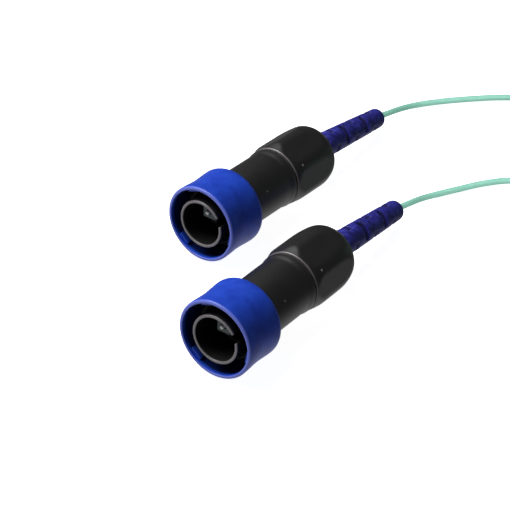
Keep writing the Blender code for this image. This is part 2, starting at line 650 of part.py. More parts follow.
def strain_relief_boot():
    base = BOOT_BASE_DIA / 2
    tip = BOOT_TIP_DIA / 2
    outline = [(CABLE_HOLE_RADIUS, BOOT_FRONT), (GLAND_RADIUS, BOOT_FRONT), (GLAND_RADIUS, BOOT_FLANGE_REAR)]
    outline += [(base, BOOT_FLANGE_REAR), (base, NUT_REAR)]
    for step in range(1, 4):
        station = NUT_REAR + BOOT_BEND_LENGTH * step / 3
        outline.append((base + (tip - base) * (station - NUT_REAR) / BOOT_LENGTH, station))
    outline += arc(tip - BOOT_TIP_ROUND, BOOT_REAR - BOOT_TIP_ROUND, BOOT_TIP_ROUND, 0, 90, 2)
    outline += [(CABLE_HOLE_RADIUS, BOOT_REAR), (CABLE_HOLE_RADIUS, NUT_REAR)]
    boot = turned("strain_relief_boot", outline, SMALL_SEGMENTS)
    slots = []
    for row in range(SLOT_ROWS):
        station = NUT_REAR + SLOT_FIRST + row * SLOT_PITCH
        for side in (0, 180):
            low = (SLOT_CORE / 2, station, -BOOT_BASE_DIA)
            high = (BOOT_BASE_DIA, station + SLOT_LENGTH, BOOT_BASE_DIA)
            slots.append(spin(box("boot_slot", low, high), side + 90 * (row % 2) + 45))
    mesh = finish(combine(boot, slots, "DIFFERENCE"), "boot_rubber")
    for vertex in mesh.vertices:
        along, height, angle = boot_axis(vertex.co.y / MM)
        offset = vertex.co.z / MM
        vertex.co.y = (along + offset * math.sin(angle)) * MM
        vertex.co.z = (height + offset * math.cos(angle)) * MM
    return mesh


def cable_inner_points():
    """The cable from the crimp, down to the plug's axis and out along the boot."""
    points = [(0.0, CABLE_FRONT, CONNECTOR_OFFSET)]
    bend_front = CRIMP_FRONT + CRIMP_LENGTH
    bend_rear = CAGE_FLANGE_FRONT - CAGE_LENGTH
    for step in range(6):
        share = step / 5
        ease = share * share * (3 - 2 * share)
        points.append((0.0, bend_front + (bend_rear - bend_front) * share, CONNECTOR_OFFSET * (1 - ease)))
    station = NUT_REAR
    while station < BOOT_REAR - CABLE_INSET - 1.0:
        along, height, angle = boot_axis(station)
        points.append((0.0, along, height))
        station += BOOT_BEND_LENGTH / 4 if station < NUT_REAR + BOOT_BEND_LENGTH else BOOT_BEND_LENGTH
    along, height, angle = boot_axis(BOOT_REAR - CABLE_INSET - SEAT_GAP)
    points.append((0.0, along, height))
    return points


def cable_inner():
    return finish(tube("cable_inner", cable_inner_points(), CABLE_DIA), "cable_jacket", 60.0)


def smooth_route(points):
    """Cubic curve through the points, read at even steps along its length."""
    knots = [Vector(point) for point in points]
    first = knots[0] * 2 - knots[1]
    last = knots[-1] * 2 - knots[-2]
    knots = [first, *knots, last]
    fine = []
    for index in range(1, len(knots) - 2):
        before, start, end, after = knots[index - 1:index + 3]
        for step in range(40):
            share = step / 40
            pull_start = (end - before) * 0.5
            pull_end = (after - start) * 0.5
            h1 = 2 * share ** 3 - 3 * share ** 2 + 1
            h2 = share ** 3 - 2 * share ** 2 + share
            h3 = share ** 3 - share ** 2
            fine.append(start * h1 + pull_start * h2 + end * (1 - h1) + pull_end * h3)
    fine.append(knots[-2])
    lengths = [0.0]
    for start, end in zip(fine, fine[1:]):
        lengths.append(lengths[-1] + (end - start).length)
    count = max(2, round(lengths[-1] / ROUTE_STEP))
    picked = []
    place = 0
    for step in range(count + 1):
        goal = lengths[-1] * step / count
        while place < len(fine) - 2 and lengths[place + 1] < goal:
            place += 1
        share = (goal - lengths[place]) / (lengths[place + 1] - lengths[place])
        picked.append(fine[place].lerp(fine[place + 1], min(1.0, share)))
    return picked


def rounded_section(low_radius, high_radius, low, high, size):
    """Outline of a rounded square section, front to rear outside, with its heights as stations."""
    outline = arc(high_radius - size, low + size, size, -90, 0, 2)
    outline += arc(high_radius - size, high - size, size, 0, 90, 2)
    outline += arc(low_radius + size, high - size, size, 90, 180, 2)
    outline += arc(low_radius + size, low + size, size, 180, 270, 2)
    return outline


def cable_coil():
    """Turned about Y like a plug piece, then stood up so that its axis is +Z."""
    half = COIL_BUNDLE / 2
    low = TIE_THICKNESS + SEAT_GAP
    outline = rounded_section(COIL_RADIUS - half, COIL_RADIUS + half, low, low + COIL_BUNDLE, COIL_ROUND)
    mesh = finish(turned("cable_coil", outline), "cable_jacket", 60.0)
    mesh.transform(Matrix.Rotation(math.radians(90), 4, "X"))
    mesh.transform(Matrix.Translation((COIL_CENTRE[0] * MM, COIL_CENTRE[1] * MM, 0.0)))
    return mesh


def coil_tie(angle):
    """A flat band around the bundle, square to it, standing on the table."""
    half = COIL_BUNDLE / 2 + SEAT_GAP
    middle = TIE_THICKNESS + half
    outer = half + TIE_THICKNESS
    width = TIE_WIDTH / 2
    low = (COIL_RADIUS - outer, -width, middle - outer)
    high = (COIL_RADIUS + outer, width, middle + outer)
    band = box("coil_tie", low, high)
    low = (COIL_RADIUS - half, -TIE_WIDTH, middle - half)
    high = (COIL_RADIUS + half, TIE_WIDTH, middle + half)
    hole = box("tie_hole", low, high)
    mesh = finish(combine(band, [hole], "DIFFERENCE"), "tie_fabric")
    mesh.transform(Matrix.Rotation(math.radians(angle), 4, "Z"))
    mesh.transform(Matrix.Translation((COIL_CENTRE[0] * MM, COIL_CENTRE[1] * MM, 0.0)))
    return mesh


def resting_tilt():
    """A plug lies on the rear of its ring and on a corner of its nut's dome, so its axis drops rearwards."""
    ring_station = RING_LENGTH - RING_REAR_ROUND
    start_angle = math.radians(NUT_REAR_START_ANGLE)
    nut_station = NUT_REAR - NUT_REAR_ROUND_LENGTH * (1 - math.sin(start_angle))
    corner_reach = nut_corner_radius() - NUT_CORNER_ROUND
    corner_turn = math.radians((NUT_CORNER_ANGLE + 90) % 60)
    corner_turn = min(corner_turn, math.radians(60) - corner_turn)
    nut_radius = corner_reach * math.cos(corner_turn) + NUT_CORNER_ROUND
    nut_radius -= NUT_REAR_ROUND * (1 - math.cos(start_angle))
    tilt = math.atan((RING_DIA / 2 - nut_radius) / (nut_station - ring_station))
    height = RING_DIA / 2 * math.cos(tilt) + ring_station * math.sin(tilt)
    return tilt, height


PLUG_PIECES = [
    (coupling_ring, (0.0, 0.0, 0.0)),
    (plug_body, (0.0, 0.0, 0.0)),
    (face_seal, (0.0, 0.0, 0.0)),
    (ring_clip, (0.0, 0.0, 0.0)),
    (ring_wave_spring, (0.0, 0.0, 0.0)),
    (connector_carrier, (0.0, 0.0, 0.0)),
    (connector_housing, (0.0, 0.0, CONNECTOR_OFFSET)),
    (latch_lever, (0.0, HOUSING_FRONT + LATCH_ROOT + LATCH_THICKNESS / 2,
                   CONNECTOR_OFFSET - HOUSING_SIZE / 2 - SEAT_GAP - LATCH_THICKNESS / 2)),
    (ferrule, (0.0, 0.0, CONNECTOR_OFFSET)),
    (ferrule_flange, (0.0, 0.0, CONNECTOR_OFFSET)),
    (ferrule_spring, (0.0, 0.0, CONNECTOR_OFFSET)),
    (connector_backpost, (0.0, 0.0, CONNECTOR_OFFSET)),
    (crimp_sleeve, (0.0, 0.0, CONNECTOR_OFFSET)),
    (fibre_buffer, (0.0, 0.0, CONNECTOR_OFFSET)),
    (cable_inner, (0.0, 0.0, 0.0)),
    (gland_cage, (0.0, 0.0, 0.0)),
    (gland_seal, (0.0, 0.0, 0.0)),
    (slip_washer, (0.0, 0.0, 0.0)),
    (gland_nut, (0.0, 0.0, 0.0)),
    (strain_relief_boot, (0.0, 0.0, 0.0)),
]


def plug_frame(collection, name, face, yaw):
    """An empty at the centre of a plug's mating face, whose +Y is the plug's axis."""
    tilt, height = resting_tilt()
    frame = bpy.data.objects.new(name, None)
    collection.objects.link(frame)
    frame.location = Vector((*face, height)) * MM
    frame.rotation_euler = (-tilt, 0.0, math.radians(yaw))
    return frame


def place_plug(collection, frame, meshes, suffix):
    for (maker, location), mesh in zip(PLUG_PIECES, meshes):
        piece = bpy.data.objects.new(maker.__name__ + "_" + suffix, mesh)
        piece.parent = frame
        piece.location = Vector(location) * MM
        collection.objects.link(piece)


def cable_run(collection, frame, route, name):
    """The cable from inside the boot's mouth, along the table, to the outside of the coil."""
    bpy.context.view_layer.update()
    along, height, angle = boot_axis(BOOT_REAR - CABLE_INSET)
    end_along, end_height, angle = boot_axis(BOOT_REAR)
    start = frame.matrix_world @ (Vector((0.0, along, height)) * MM) / MM
    mouth = frame.matrix_world @ (Vector((0.0, end_along, end_height)) * MM) / MM
    points = smooth_route([start, mouth, *route])
    run = bpy.data.objects.new(name, finish(tube(name, points, CABLE_DIA), "cable_jacket", 60.0))
    collection.objects.link(run)


def main():
    clear_scene()
    collection = make_collection("fibre_patch_cord")
    meshes = [maker() for maker, location in PLUG_PIECES]
    frame_a = plug_frame(collection, "plug_a_axis", PLUG_A_FACE, PLUG_A_YAW)
    frame_b = plug_frame(collection, "plug_b_axis", PLUG_B_FACE, PLUG_B_YAW)
    place_plug(collection, frame_a, meshes, "a")
    place_plug(collection, frame_b, meshes, "b")
    cable_run(collection, frame_a, ROUTE_A, "cable_run_a")
    cable_run(collection, frame_b, ROUTE_B, "cable_run_b")
    collection.objects.link(bpy.data.objects.new("cable_coil", cable_coil()))
    for number, angle in enumerate(TIE_ANGLES, start=1):
        collection.objects.link(bpy.data.objects.new(f"coil_tie_{number}", coil_tie(angle)))


main()
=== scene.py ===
"""Finished look of a fibre patch cord: two sealed twist-lock plugs joined by one aqua cable.

The frame is in metres. A plug's pieces are drawn in millimetres in the plug's own frame: its axis is +Y,
station 0 is the front rim of the coupling ring, stations grow towards the cable, and +Z is up.
"""
import json
import math

import bmesh
import bpy
from mathutils import Matrix, Vector


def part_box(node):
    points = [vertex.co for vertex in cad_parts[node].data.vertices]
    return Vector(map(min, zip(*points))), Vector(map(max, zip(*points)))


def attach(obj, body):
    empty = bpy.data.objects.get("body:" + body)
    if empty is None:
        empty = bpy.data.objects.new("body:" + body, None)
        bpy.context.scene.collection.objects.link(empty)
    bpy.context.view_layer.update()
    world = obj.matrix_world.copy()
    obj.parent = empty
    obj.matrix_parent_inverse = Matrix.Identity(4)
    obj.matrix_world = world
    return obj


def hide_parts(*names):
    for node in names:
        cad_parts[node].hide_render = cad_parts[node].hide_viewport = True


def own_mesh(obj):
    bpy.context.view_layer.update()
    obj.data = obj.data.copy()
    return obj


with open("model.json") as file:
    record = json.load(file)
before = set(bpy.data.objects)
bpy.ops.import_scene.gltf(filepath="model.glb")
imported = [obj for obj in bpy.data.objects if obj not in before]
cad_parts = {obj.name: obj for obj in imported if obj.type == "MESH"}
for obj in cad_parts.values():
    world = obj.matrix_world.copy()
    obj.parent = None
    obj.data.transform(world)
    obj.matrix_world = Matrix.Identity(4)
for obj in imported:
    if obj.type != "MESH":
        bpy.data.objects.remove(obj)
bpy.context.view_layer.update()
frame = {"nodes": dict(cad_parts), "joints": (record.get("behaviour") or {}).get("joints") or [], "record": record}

MM = 0.001
PLUGS = ("a", "b")
ROOT = "cord_and_plug_bodies"

# Camera: its place in metres, the way it looks and its roll in degrees, and its lens in millimetres
CAMERA_PLACE = (0.27708, -0.39463, 0.34040)
CAMERA_AIM = (-0.48639, 0.65162, -0.58209)
CAMERA_ROLL = 1.172
LENS = 139.31

# Cable: its diameter, its two loose stretches and its coil in millimetres
CABLE_DIA = 2.0
ROUTE_A = [(-18.2, 73.0, 4.0), (-17.8, 79.5, 2.6), (-16.2, 86.0, 1.5), (-12.4, 92.5, 1.05),
           (-5.4, 100.5, 1.05), (4.0, 109.5, 1.05), (16.8, 118.2, 1.05), (30.2, 124.3, 1.3),
           (43.8, 127.9, 1.9)]
ROUTE_B = [(16.2, 32.5, 4.05), (16.6, 39.0, 2.65), (18.2, 45.5, 1.5), (21.6, 53.0, 1.05), (26.3, 61.0, 1.05),
           (32.0, 67.6, 1.05), (40.4, 73.5, 1.05), (49.4, 77.9, 1.3), (58.6, 82.1, 1.9)]
COIL_RADIUS = 18.85
COIL_ROWS = 4
COIL_START = 100.0
COIL_END = -64.0
COIL_STEPS = 24
COIL_STEP_OVER = 150.0
COIL_STEP_LENGTH = 60.0
COIL_BULGE = 0.35
CABLE_INSET = 2.0

# Coil ties
TIE_ANGLES = (20.0, 205.0)
TIE_THICKNESS = 0.6
TIE_WIDTH = 5.0
TIE_INNER_ROUND = 1.3
TIE_OUTER_ROUND = 1.9
TIE_EDGE = 0.15
TIE_TAB_HEIGHT = 0.5

SEAT_GAP = 0.3

# Coupling ring
RING_WALL = 1.1
RING_WAIST = 0.28
RING_FRONT_ROUND = 0.62
RING_BORE_ROUND = 0.3
RING_REAR_ROUND = 2.0
RING_WEB = 4.4
LUG_COUNT = 3
LUG_FIRST_ANGLE = 111.0
LUG_WIDTH = 3.8
LUG_LENGTH = 2.4
LUG_HEIGHT = 0.9
LUG_STATION = 0.9

# Plug body
SHROUD_DIA = 15.0
SHROUD_WALL = 0.85
KEY_WIDTH = 2.7
KEY_LENGTH = 5.2
KEY_ANGLE = 25.0
LAND_DIA = 16.6
LAND_FRONT = 7.6
GROOVE_FRONT = 9.0
GROOVE_REAR = 10.1
GROOVE_DEPTH = 0.7
BODY_SHOULDER = 15.95
BODY_DIA = 18.0
FLARE_START = 32.0
COLLAR_STATION = 34.4
COLLAR_REAR = 35.1
SPIGOT_DIA = 16.4
BODY_BORE = 13.8
STOP_LIP_BORE = 12.0
STOP_LIP_STATION = 10.8
STOP_LIP_REAR = 11.6

# Gland nut
NUT_FLATS = 19.1
NUT_CORNER_ROUND = 4.0
NUT_CORNER_ANGLE = 36.0
NUT_FRONT_ROUND = 0.45
NUT_FRONT_CHAMFER = 3.2
NUT_REAR_WALL = 5.4
NUT_REAR_ROUND = 2.3
NUT_REAR_ROUND_LENGTH = 10.0
NUT_EDGE_BLEND = 0.22

# Strain-relief boot
BOOT_BASE_DIA = 8.5
BOOT_TIP_DIA = 6.4
BOOT_FLANGE = 3.2
BOOT_LENGTH = 36.6
BOOT_TIP_ROUND = 1.3
BOOT_DROOP = 5.2
BOOT_BEND_LENGTH = 8.0
SLOT_ROWS = 6
SLOT_PITCH = 5.4
SLOT_LENGTH = 1.9
SLOT_CORE = 4.2
SLOT_FIRST = 2.8

# Moulding dot and corner pip, the pip a pale painted highlight at the nut's corner: (size, height, station, angle
# on the plug)
GATE_MARK = (0.55, 0.12, 21.9, 30.0)
CORNER_HIGHLIGHT_PIP = (0.7, 0.2, 38.9, NUT_CORNER_ANGLE)
DOT_SINK = 0.15
DOT_REST = 0.05
DOT_SIDES = 24

# Painted highlight and painted shade along an edge: how far it is full, then how far it takes to fade
RIM_HIGHLIGHT = (0.2, 0.45)
SHROUD_HIGHLIGHT = (0.1, 0.25)
EDGE_HIGHLIGHT = (0.08, 0.15)
STREAK_HIGHLIGHT = (0.1, 0.25)
STREAK_INSET = 1.1
RING_BORE_SHADE = (0.7, 0.9)
MOUTH_SHADE = (0.4, 0.7)
NUT_REAR_SHADE = (0.9, 0.2)
SLOT_SHADE = (0.1, 0.6)
TIP_UNSHADED = 1.8

# Steps round a turned piece, along the ring's waist, and the spacing of the boot's rings
AROUND = 144
WAIST_STEPS = 24
BOOT_RING_STEP = 0.15


def reach(node):
    """A CAD node's front and rear station and its inner and outer radius, in plug a's or b's frame."""
    inverse = plug_axes(node[-1]).inverted()
    points = [inverse @ vertex.co for vertex in frame["nodes"][node].data.vertices]
    radii = [math.hypot(point.x, point.z) / MM for point in points]
    stations = [point.y / MM for point in points]
    return min(stations), max(stations), min(radii), max(radii)


def joint(name):
    """The frame's row for a joint."""
    return next(row for row in frame["joints"] if row["name"] == name)


def plug_axes(letter):
    """The place and turn of a plug: on its ring's axis, at the ring's front rim."""
    twist = joint("ring_twist_" + letter)
    across = Vector(joint("latch_flex_" + letter)["axis"])
    along = -Vector(twist["axis"])
    turn = Matrix((across, along, across.cross(along))).transposed().to_4x4()
    return Matrix.Translation(Vector(twist["pos_m"])) @ turn


def show(name, mesh, place=Matrix.Identity(4)):
    """Put a mesh in the scene as an object at a place."""
    thing = bpy.data.objects.new(name, mesh)
    bpy.context.scene.collection.objects.link(thing)
    thing.matrix_world = place
    return thing


def make_camera():
    """A long lens at the angle from which the plugs show their mouths."""
    data = bpy.data.cameras.new("camera")
    data.lens = LENS
    data.clip_start = 0.05
    data.clip_end = 20.0
    camera = show("camera", data)
    camera.location = CAMERA_PLACE
    roll = Matrix.Rotation(math.radians(CAMERA_ROLL), 3, "Z")
    camera.rotation_euler = (Vector(CAMERA_AIM).to_track_quat("-Z", "Y").to_matrix() @ roll).to_euler()
    bpy.context.scene.camera = camera


def boot_axis(station):
    """Station and height of the boot's bent centreline, and its downward angle."""
    start = NUT_REAR
    droop = math.radians(BOOT_DROOP)
    if station <= start:
        return station, 0.0, 0.0
    radius = BOOT_BEND_LENGTH / droop
    angle = min(station - start, BOOT_BEND_LENGTH) / radius
    along = start + radius * math.sin(angle)
    height = -radius * (1 - math.cos(angle))
    rest = max(0.0, station - start - BOOT_BEND_LENGTH)
    return along + rest * math.cos(angle), height - rest * math.sin(angle), angle


def ease(share):
    """A share from 0 to 1 that starts and stops softly."""
    share = min(1.0, max(0.0, share))
    return share * share * (3 - 2 * share)


def boot_mouth(letter, station):
    """A point on a boot's centreline, in metres in the frame."""
    along, height = boot_axis(station)[:2]
    return plug_axes(letter) @ (Vector((0.0, along, height)) * MM)


def coil_cells():
    """Where the turns lie in the bundle, (column from outside, row from the table), to and fro."""
    cells = []
    for row in range(COIL_ROWS):
        columns = list(range(COIL_ROWS))
        if row % 2:
            columns.reverse()
        cells += [(column, row) for column in columns]
    return cells


def coil_points(centre, low):
    """The coil, wound clockwise seen from above, each turn stepping over to its next cell in one place."""
    cells = coil_cells()
    turns = len(cells) - 1 + (COIL_START - COIL_END) / 360
    steps = round(turns * COIL_STEPS)
    middle = (COIL_ROWS - 1) / 2
    points = []
    for step in range(steps + 1):
        degrees = COIL_START - 360 * turns * step / steps
        gone = COIL_STEP_OVER - degrees + COIL_STEP_LENGTH / 2
        turn = math.floor(gone / 360)
        share = ease((gone - 360 * turn) / COIL_STEP_LENGTH) if turn >= 1 else 0.0
        place = max(0, turn - 1)
        here = cells[place]
        after = cells[min(place + 1, len(cells) - 1)]
        column = here[0] + (after[0] - here[0]) * share
        row = here[1] + (after[1] - here[1]) * share
        if here[0] == after[0] and here != after:
            column += COIL_BULGE * math.sin(math.pi * share) * (1 if here[0] else -1)
        radius = COIL_RADIUS + (middle - column) * CABLE_DIA
        height = low + (row + 0.5) * CABLE_DIA
        angle = math.radians(degrees)
        across = centre.x / MM + radius * math.cos(angle)
        points.append((across, centre.y / MM + radius * math.sin(angle), height))
    return points


def make_cable():
    """One cable from boot to boot, through both loose stretches and every turn of the coil."""
    low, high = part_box("cable_coil")
    turns = coil_points((low + high) / 2, low.z / MM)
    start = [boot_mouth("a", BOOT_REAR - CABLE_INSET) / MM, boot_mouth("a", BOOT_REAR) / MM]
    end = [boot_mouth("b", BOOT_REAR) / MM, boot_mouth("b", BOOT_REAR - CABLE_INSET) / MM]
    points = [*start, *ROUTE_A, *turns, *reversed(ROUTE_B), *end]
    curve = bpy.data.curves.new("cable_line", "CURVE")
    curve.dimensions = "3D"
    curve.bevel_depth = CABLE_DIA / 2 * MM
    curve.bevel_resolution = 3
    curve.resolution_u = 4
    curve.use_fill_caps = True
    spline = curve.splines.new("BEZIER")
    spline.bezier_points.add(len(points) - 1)
    for knot, place in zip(spline.bezier_points, points):
        knot.co = Vector(place) * MM
        knot.handle_left_type = "AUTO"
        knot.handle_right_type = "AUTO"
    line = show("cable_line", curve)
    graph = bpy.context.evaluated_depsgraph_get()
    mesh = bpy.data.meshes.new_from_object(line.evaluated_get(graph))
    bpy.data.objects.remove(line)
    mesh.shade_smooth()
    return show("cable", mesh), [list(Vector(place) * MM) for place in points]


def ride_along(piece, body, slot, material, *nodes):
    """Let a piece ride on its body, stand for its CAD nodes and take its finish."""
    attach(piece, body)
    if nodes:
        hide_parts(*nodes)
    paint(piece, material)
    return piece


# Mesh building, in millimetres ------------------------------------------------------------------------------


def rounded(corners, closed=True, steps=6):
    """An outline of (radius, station, round) corners as points, each corner an arc of its own round."""
    points = []
    count = len(corners)
    for index, (radius, station, size) in enumerate(corners):
        here = Vector((radius, station))
        if size == 0 or (not closed and index in (0, count - 1)):
            points.append(here)
            continue
        before = Vector(corners[index - 1][:2]) - here
        after = Vector(corners[(index + 1) % count][:2]) - here
        before.normalize()
        after.normalize()
        half = before.angle(after) / 2
        back = size / math.tan(half)
        middle = here + (before + after).normalized() * (size / math.sin(half))
        first = here + before * back - middle
        last = here + after * back - middle
        sweep = first.angle_signed(last)
        for step in range(steps + 1):
            arm = first.copy()
            arm.rotate(Matrix.Rotation(-sweep * step / steps, 2))
            points.append(middle + arm)
    return [(point.x, point.y) for point in points]


def skin(name, rings, closed=True):
    """A surface through rings of points in millimetres; closed joins the last ring to the first."""
    build = bmesh.new()
    rows = [[build.verts.new(Vector(point) * MM) for point in ring] for ring in rings]
    pairs = list(zip(rows, rows[1:]))
    if closed:
        pairs.append((rows[-1], rows[0]))
    for row, after in pairs:
        for index in range(len(row)):
            other = (index + 1) % len(row)
            build.faces.new((row[index], row[other], after[other], after[index]))
    bmesh.ops.remove_doubles(build, verts=build.verts, dist=0.000001)
    bmesh.ops.recalc_face_normals(build, faces=build.faces)
    mesh = bpy.data.meshes.new(name)
    build.to_mesh(mesh)
    build.free()
    return mesh


def turned(name, outline, closed=True, around=AROUND):
    """Turn an outline of (radius, station) points about the plug's axis."""
    rings = []
    for radius, station in outline:
        ring = []
        for step in range(around):
            angle = math.tau * step / around
            ring.append((radius * math.cos(angle), station, radius * math.sin(angle)))
        rings.append(ring)
    return skin(name, rings, closed)


def smooth(mesh, degrees=32.0):
    """Shade a mesh smooth, but keep the edges sharper than an angle crisp."""
    mesh.shade_smooth()
    mesh.set_sharp_from_angle(angle=math.radians(degrees))
    return mesh


def cube(name, low, high, edge):
    """A block between two corners with rounded edges, as a working object."""
    build = bmesh.new()
    bmesh.ops.create_cube(build, size=1.0)
    size = [high[axis] - low[axis] for axis in range(3)]
    middle = [(high[axis] + low[axis]) / 2 for axis in range(3)]
    scale = Matrix.Diagonal((*[length * MM for length in size], 1.0))
    place = Matrix.Translation(Vector(middle) * MM) @ scale
    bmesh.ops.transform(build, matrix=place, verts=build.verts)
    if edge:
        bmesh.ops.bevel(build, geom=build.edges[:], offset=edge * MM, segments=4, affect="EDGES", profile=0.5)
    mesh = bpy.data.meshes.new(name)
    build.to_mesh(mesh)
    build.free()
    return mesh


def spun(mesh, degrees):
    """Turn a mesh about the plug's axis; positive lifts +X towards +Z."""
    mesh.transform(Matrix.Rotation(math.radians(-degrees), 4, "Y"))
    return mesh


def cut_or_join(mesh, others, operation):
    """Cut other meshes from a mesh, or join them to it."""
    working = show("working", mesh)
    helpers = []
    for other in others:
        helper = show("helper", other)
        modifier = working.modifiers.new("combine", "BOOLEAN")
        modifier.operation = operation
        modifier.solver = "EXACT"
        modifier.object = helper
        helpers.append(helper)
    graph = bpy.context.evaluated_depsgraph_get()
    made = bpy.data.meshes.new_from_object(working.evaluated_get(graph))
    for used in [working, *helpers]:
        data = used.data
        bpy.data.objects.remove(used)
        bpy.data.meshes.remove(data)
    return made


def soften(mesh, width, degrees=35.0):
    """Round every edge sharper than the angle, as a mould's edges are."""
    working = show("working", mesh)
    bevel = working.modifiers.new("edges", "BEVEL")
    bevel.width = width * MM
    bevel.segments = 3
    bevel.limit_method = "ANGLE"
    bevel.angle_limit = math.radians(degrees)
    graph = bpy.context.evaluated_depsgraph_get()
    made = bpy.data.meshes.new_from_object(working.evaluated_get(graph))
    bpy.data.objects.remove(working)
    bpy.data.meshes.remove(mesh)
    return made


def mark(mesh, painted_highlight, painted_shade):
    """Give every vertex its painted highlight and its painted shade, 0 to 1, by rules on its radius, station and
    height.
    """
    for name, rule in (("painted_highlight", painted_highlight), ("painted_shade", painted_shade)):
        shares = mesh.attributes.new(name, "FLOAT", "POINT")
        for vertex, share in zip(mesh.vertices, shares.data):
            place = vertex.co / MM
            share.value = min(1.0, max(0.0, rule(math.hypot(place.x, place.z), place.y, place.z)))
    return smooth(mesh)


def near(value, middle, flat, fade):
    """1 within flat of the middle, falling to 0 over a further fade."""
    return 1 - (abs(value - middle) - flat) / fade


def top_lit_share(height, radius):
    """An edge's share of painted highlight: most on top, where the light falls, and least underneath."""
    return 0.3 + 0.8 * height / radius


# Pieces -----------------------------------------------------------------------------------------------------


def coupling_ring():
    """The waisted twist-lock ring with its web and its three bayonet lugs."""
    front, rear, web_bore, outer = reach("coupling_ring_a")
    bore = outer - RING_WALL
    web_front = rear - RING_WEB
    waist_start = front + RING_FRONT_ROUND
    waist_length = rear - RING_REAR_ROUND - waist_start
    corners = [(bore, front + 1.6, 0), (bore, front + 0.7, 0), (bore, front, RING_BORE_ROUND)]
    corners += [(outer, front, RING_FRONT_ROUND)]
    for step in range(1, WAIST_STEPS):
        share = step / WAIST_STEPS
        waist = RING_WAIST * math.sin(math.pi * share) ** 2
        corners.append((outer - waist, waist_start + waist_length * share, 0))
    corners += [(outer, rear, RING_REAR_ROUND), (web_bore, rear, 0.3), (web_bore, web_front, 0.2)]
    corners += [(bore, web_front, 0.3)]
    ring = turned("coupling_ring", rounded(corners))
    lugs = []
    for index in range(LUG_COUNT):
        low = (bore - LUG_HEIGHT, LUG_STATION, -LUG_WIDTH / 2)
        high = (bore + RING_WALL / 2, LUG_STATION + LUG_LENGTH, LUG_WIDTH / 2)
        lugs.append(spun(cube("lug", low, high, 0.22), LUG_FIRST_ANGLE + index * 360 / LUG_COUNT))

    # painted highlight on the outer front rim
    def painted_highlight(radius, station, height):
        return near(station, front, *RIM_HIGHLIGHT) if radius > bore + 0.05 else 0.0

    # painted shade on the bore, darker with depth
    def painted_shade(radius, station, height):
        return (station - front - RING_BORE_SHADE[0]) / RING_BORE_SHADE[1] if radius < bore + 0.05 else 0.0

    return mark(cut_or_join(ring, lugs, "UNION"), painted_highlight, painted_shade)


def plug_body():
    """Shroud with its key slot, land with its clip groove, barrel, collar lip and spigot in one moulding."""
    front, rear = reach("plug_body_a")[:2]
    collar = reach("plug_body_a")[3]
    shroud = SHROUD_DIA / 2
    land = LAND_DIA / 2
    barrel = BODY_DIA / 2
    corners = [(shroud - SHROUD_WALL, front + 1.1, 0), (shroud - SHROUD_WALL, front + 0.4, 0)]
    corners += [(shroud - SHROUD_WALL, front, 0.22), (shroud, front, 0.28), (shroud, front + 0.6, 0)]
    corners += [(shroud, LAND_FRONT, 0.2)]
    corners += [(land, LAND_FRONT, 0.2), (land, GROOVE_FRONT, 0), (land - GROOVE_DEPTH, GROOVE_FRONT, 0)]
    corners += [(land - GROOVE_DEPTH, GROOVE_REAR, 0), (land, GROOVE_REAR, 0), (land, BODY_SHOULDER, 0)]
    corners += [(barrel, BODY_SHOULDER, 0.4)]
    for step in range(17):
        share = step / 16
        station = FLARE_START + (COLLAR_STATION - FLARE_START) * share
        corners.append((barrel + (collar - barrel) * ease(share), station, 0))
    corners += [(collar, COLLAR_REAR, 0.32), (SPIGOT_DIA / 2, COLLAR_REAR, 0.1), (SPIGOT_DIA / 2, rear, 0.3)]
    corners += [(BODY_BORE / 2, rear, 0.3), (BODY_BORE / 2, STOP_LIP_REAR, 0)]
    corners += [(STOP_LIP_BORE / 2, STOP_LIP_REAR, 0)]
    corners += [(STOP_LIP_BORE / 2, STOP_LIP_STATION, 0.2), (shroud - SHROUD_WALL, STOP_LIP_STATION, 0.2)]
    body = turned("plug_body", rounded(corners))
    low = (shroud - SHROUD_WALL - 1.0, front - 2.0, -KEY_WIDTH / 2)
    high = (shroud + 1.0, front + KEY_LENGTH, KEY_WIDTH / 2)
    slot = spun(cube("key_slot", low, high, 0.3), KEY_ANGLE)
    made = soften(cut_or_join(body, [slot], "DIFFERENCE"), 0.12)

    # painted highlight on the shroud rim and the collar edge, most on top
    def painted_highlight(radius, station, height):
        if station < LAND_FRONT:
            return near(station, front, *SHROUD_HIGHLIGHT)
        if radius < collar - 0.3:
            return 0.0
        return near(station, COLLAR_REAR - 0.1, *EDGE_HIGHLIGHT) * top_lit_share(height, collar)

    # painted shade on the mouth's wall, darker with depth
    def painted_shade(radius, station, height):
        if radius > shroud - SHROUD_WALL + 0.05:
            return 0.0
        return (station - front - MOUTH_SHADE[0]) / MOUTH_SHADE[1]

    return mark(made, painted_highlight, painted_shade)


def nut_flat_radius(angle):
    """Distance from the axis to a hexagon with rounded corners, at an angle in degrees."""
    turn = (angle - NUT_CORNER_ANGLE + 30) % 60 - 30
    turn = math.radians(abs(turn))
    flat = NUT_FLATS / 2
    centre = (flat - NUT_CORNER_ROUND) / math.cos(math.radians(30))
    half = NUT_CORNER_ROUND * math.sin(math.radians(30))
    arc_end = math.atan2(half, centre + NUT_CORNER_ROUND * math.cos(math.radians(30)))
    if turn > arc_end:
        return flat / math.cos(math.radians(30) - turn)
    return centre * math.cos(turn) + math.sqrt(NUT_CORNER_ROUND ** 2 - (centre * math.sin(turn)) ** 2)


def blend_min(one, other, blend):
    """The smaller of two values, with a soft change where they are near each other."""
    share = min(1.0, max(0.0, 0.5 + (other - one) / (2 * blend)))
    return other + (one - other) * share - blend * share * (1 - share)


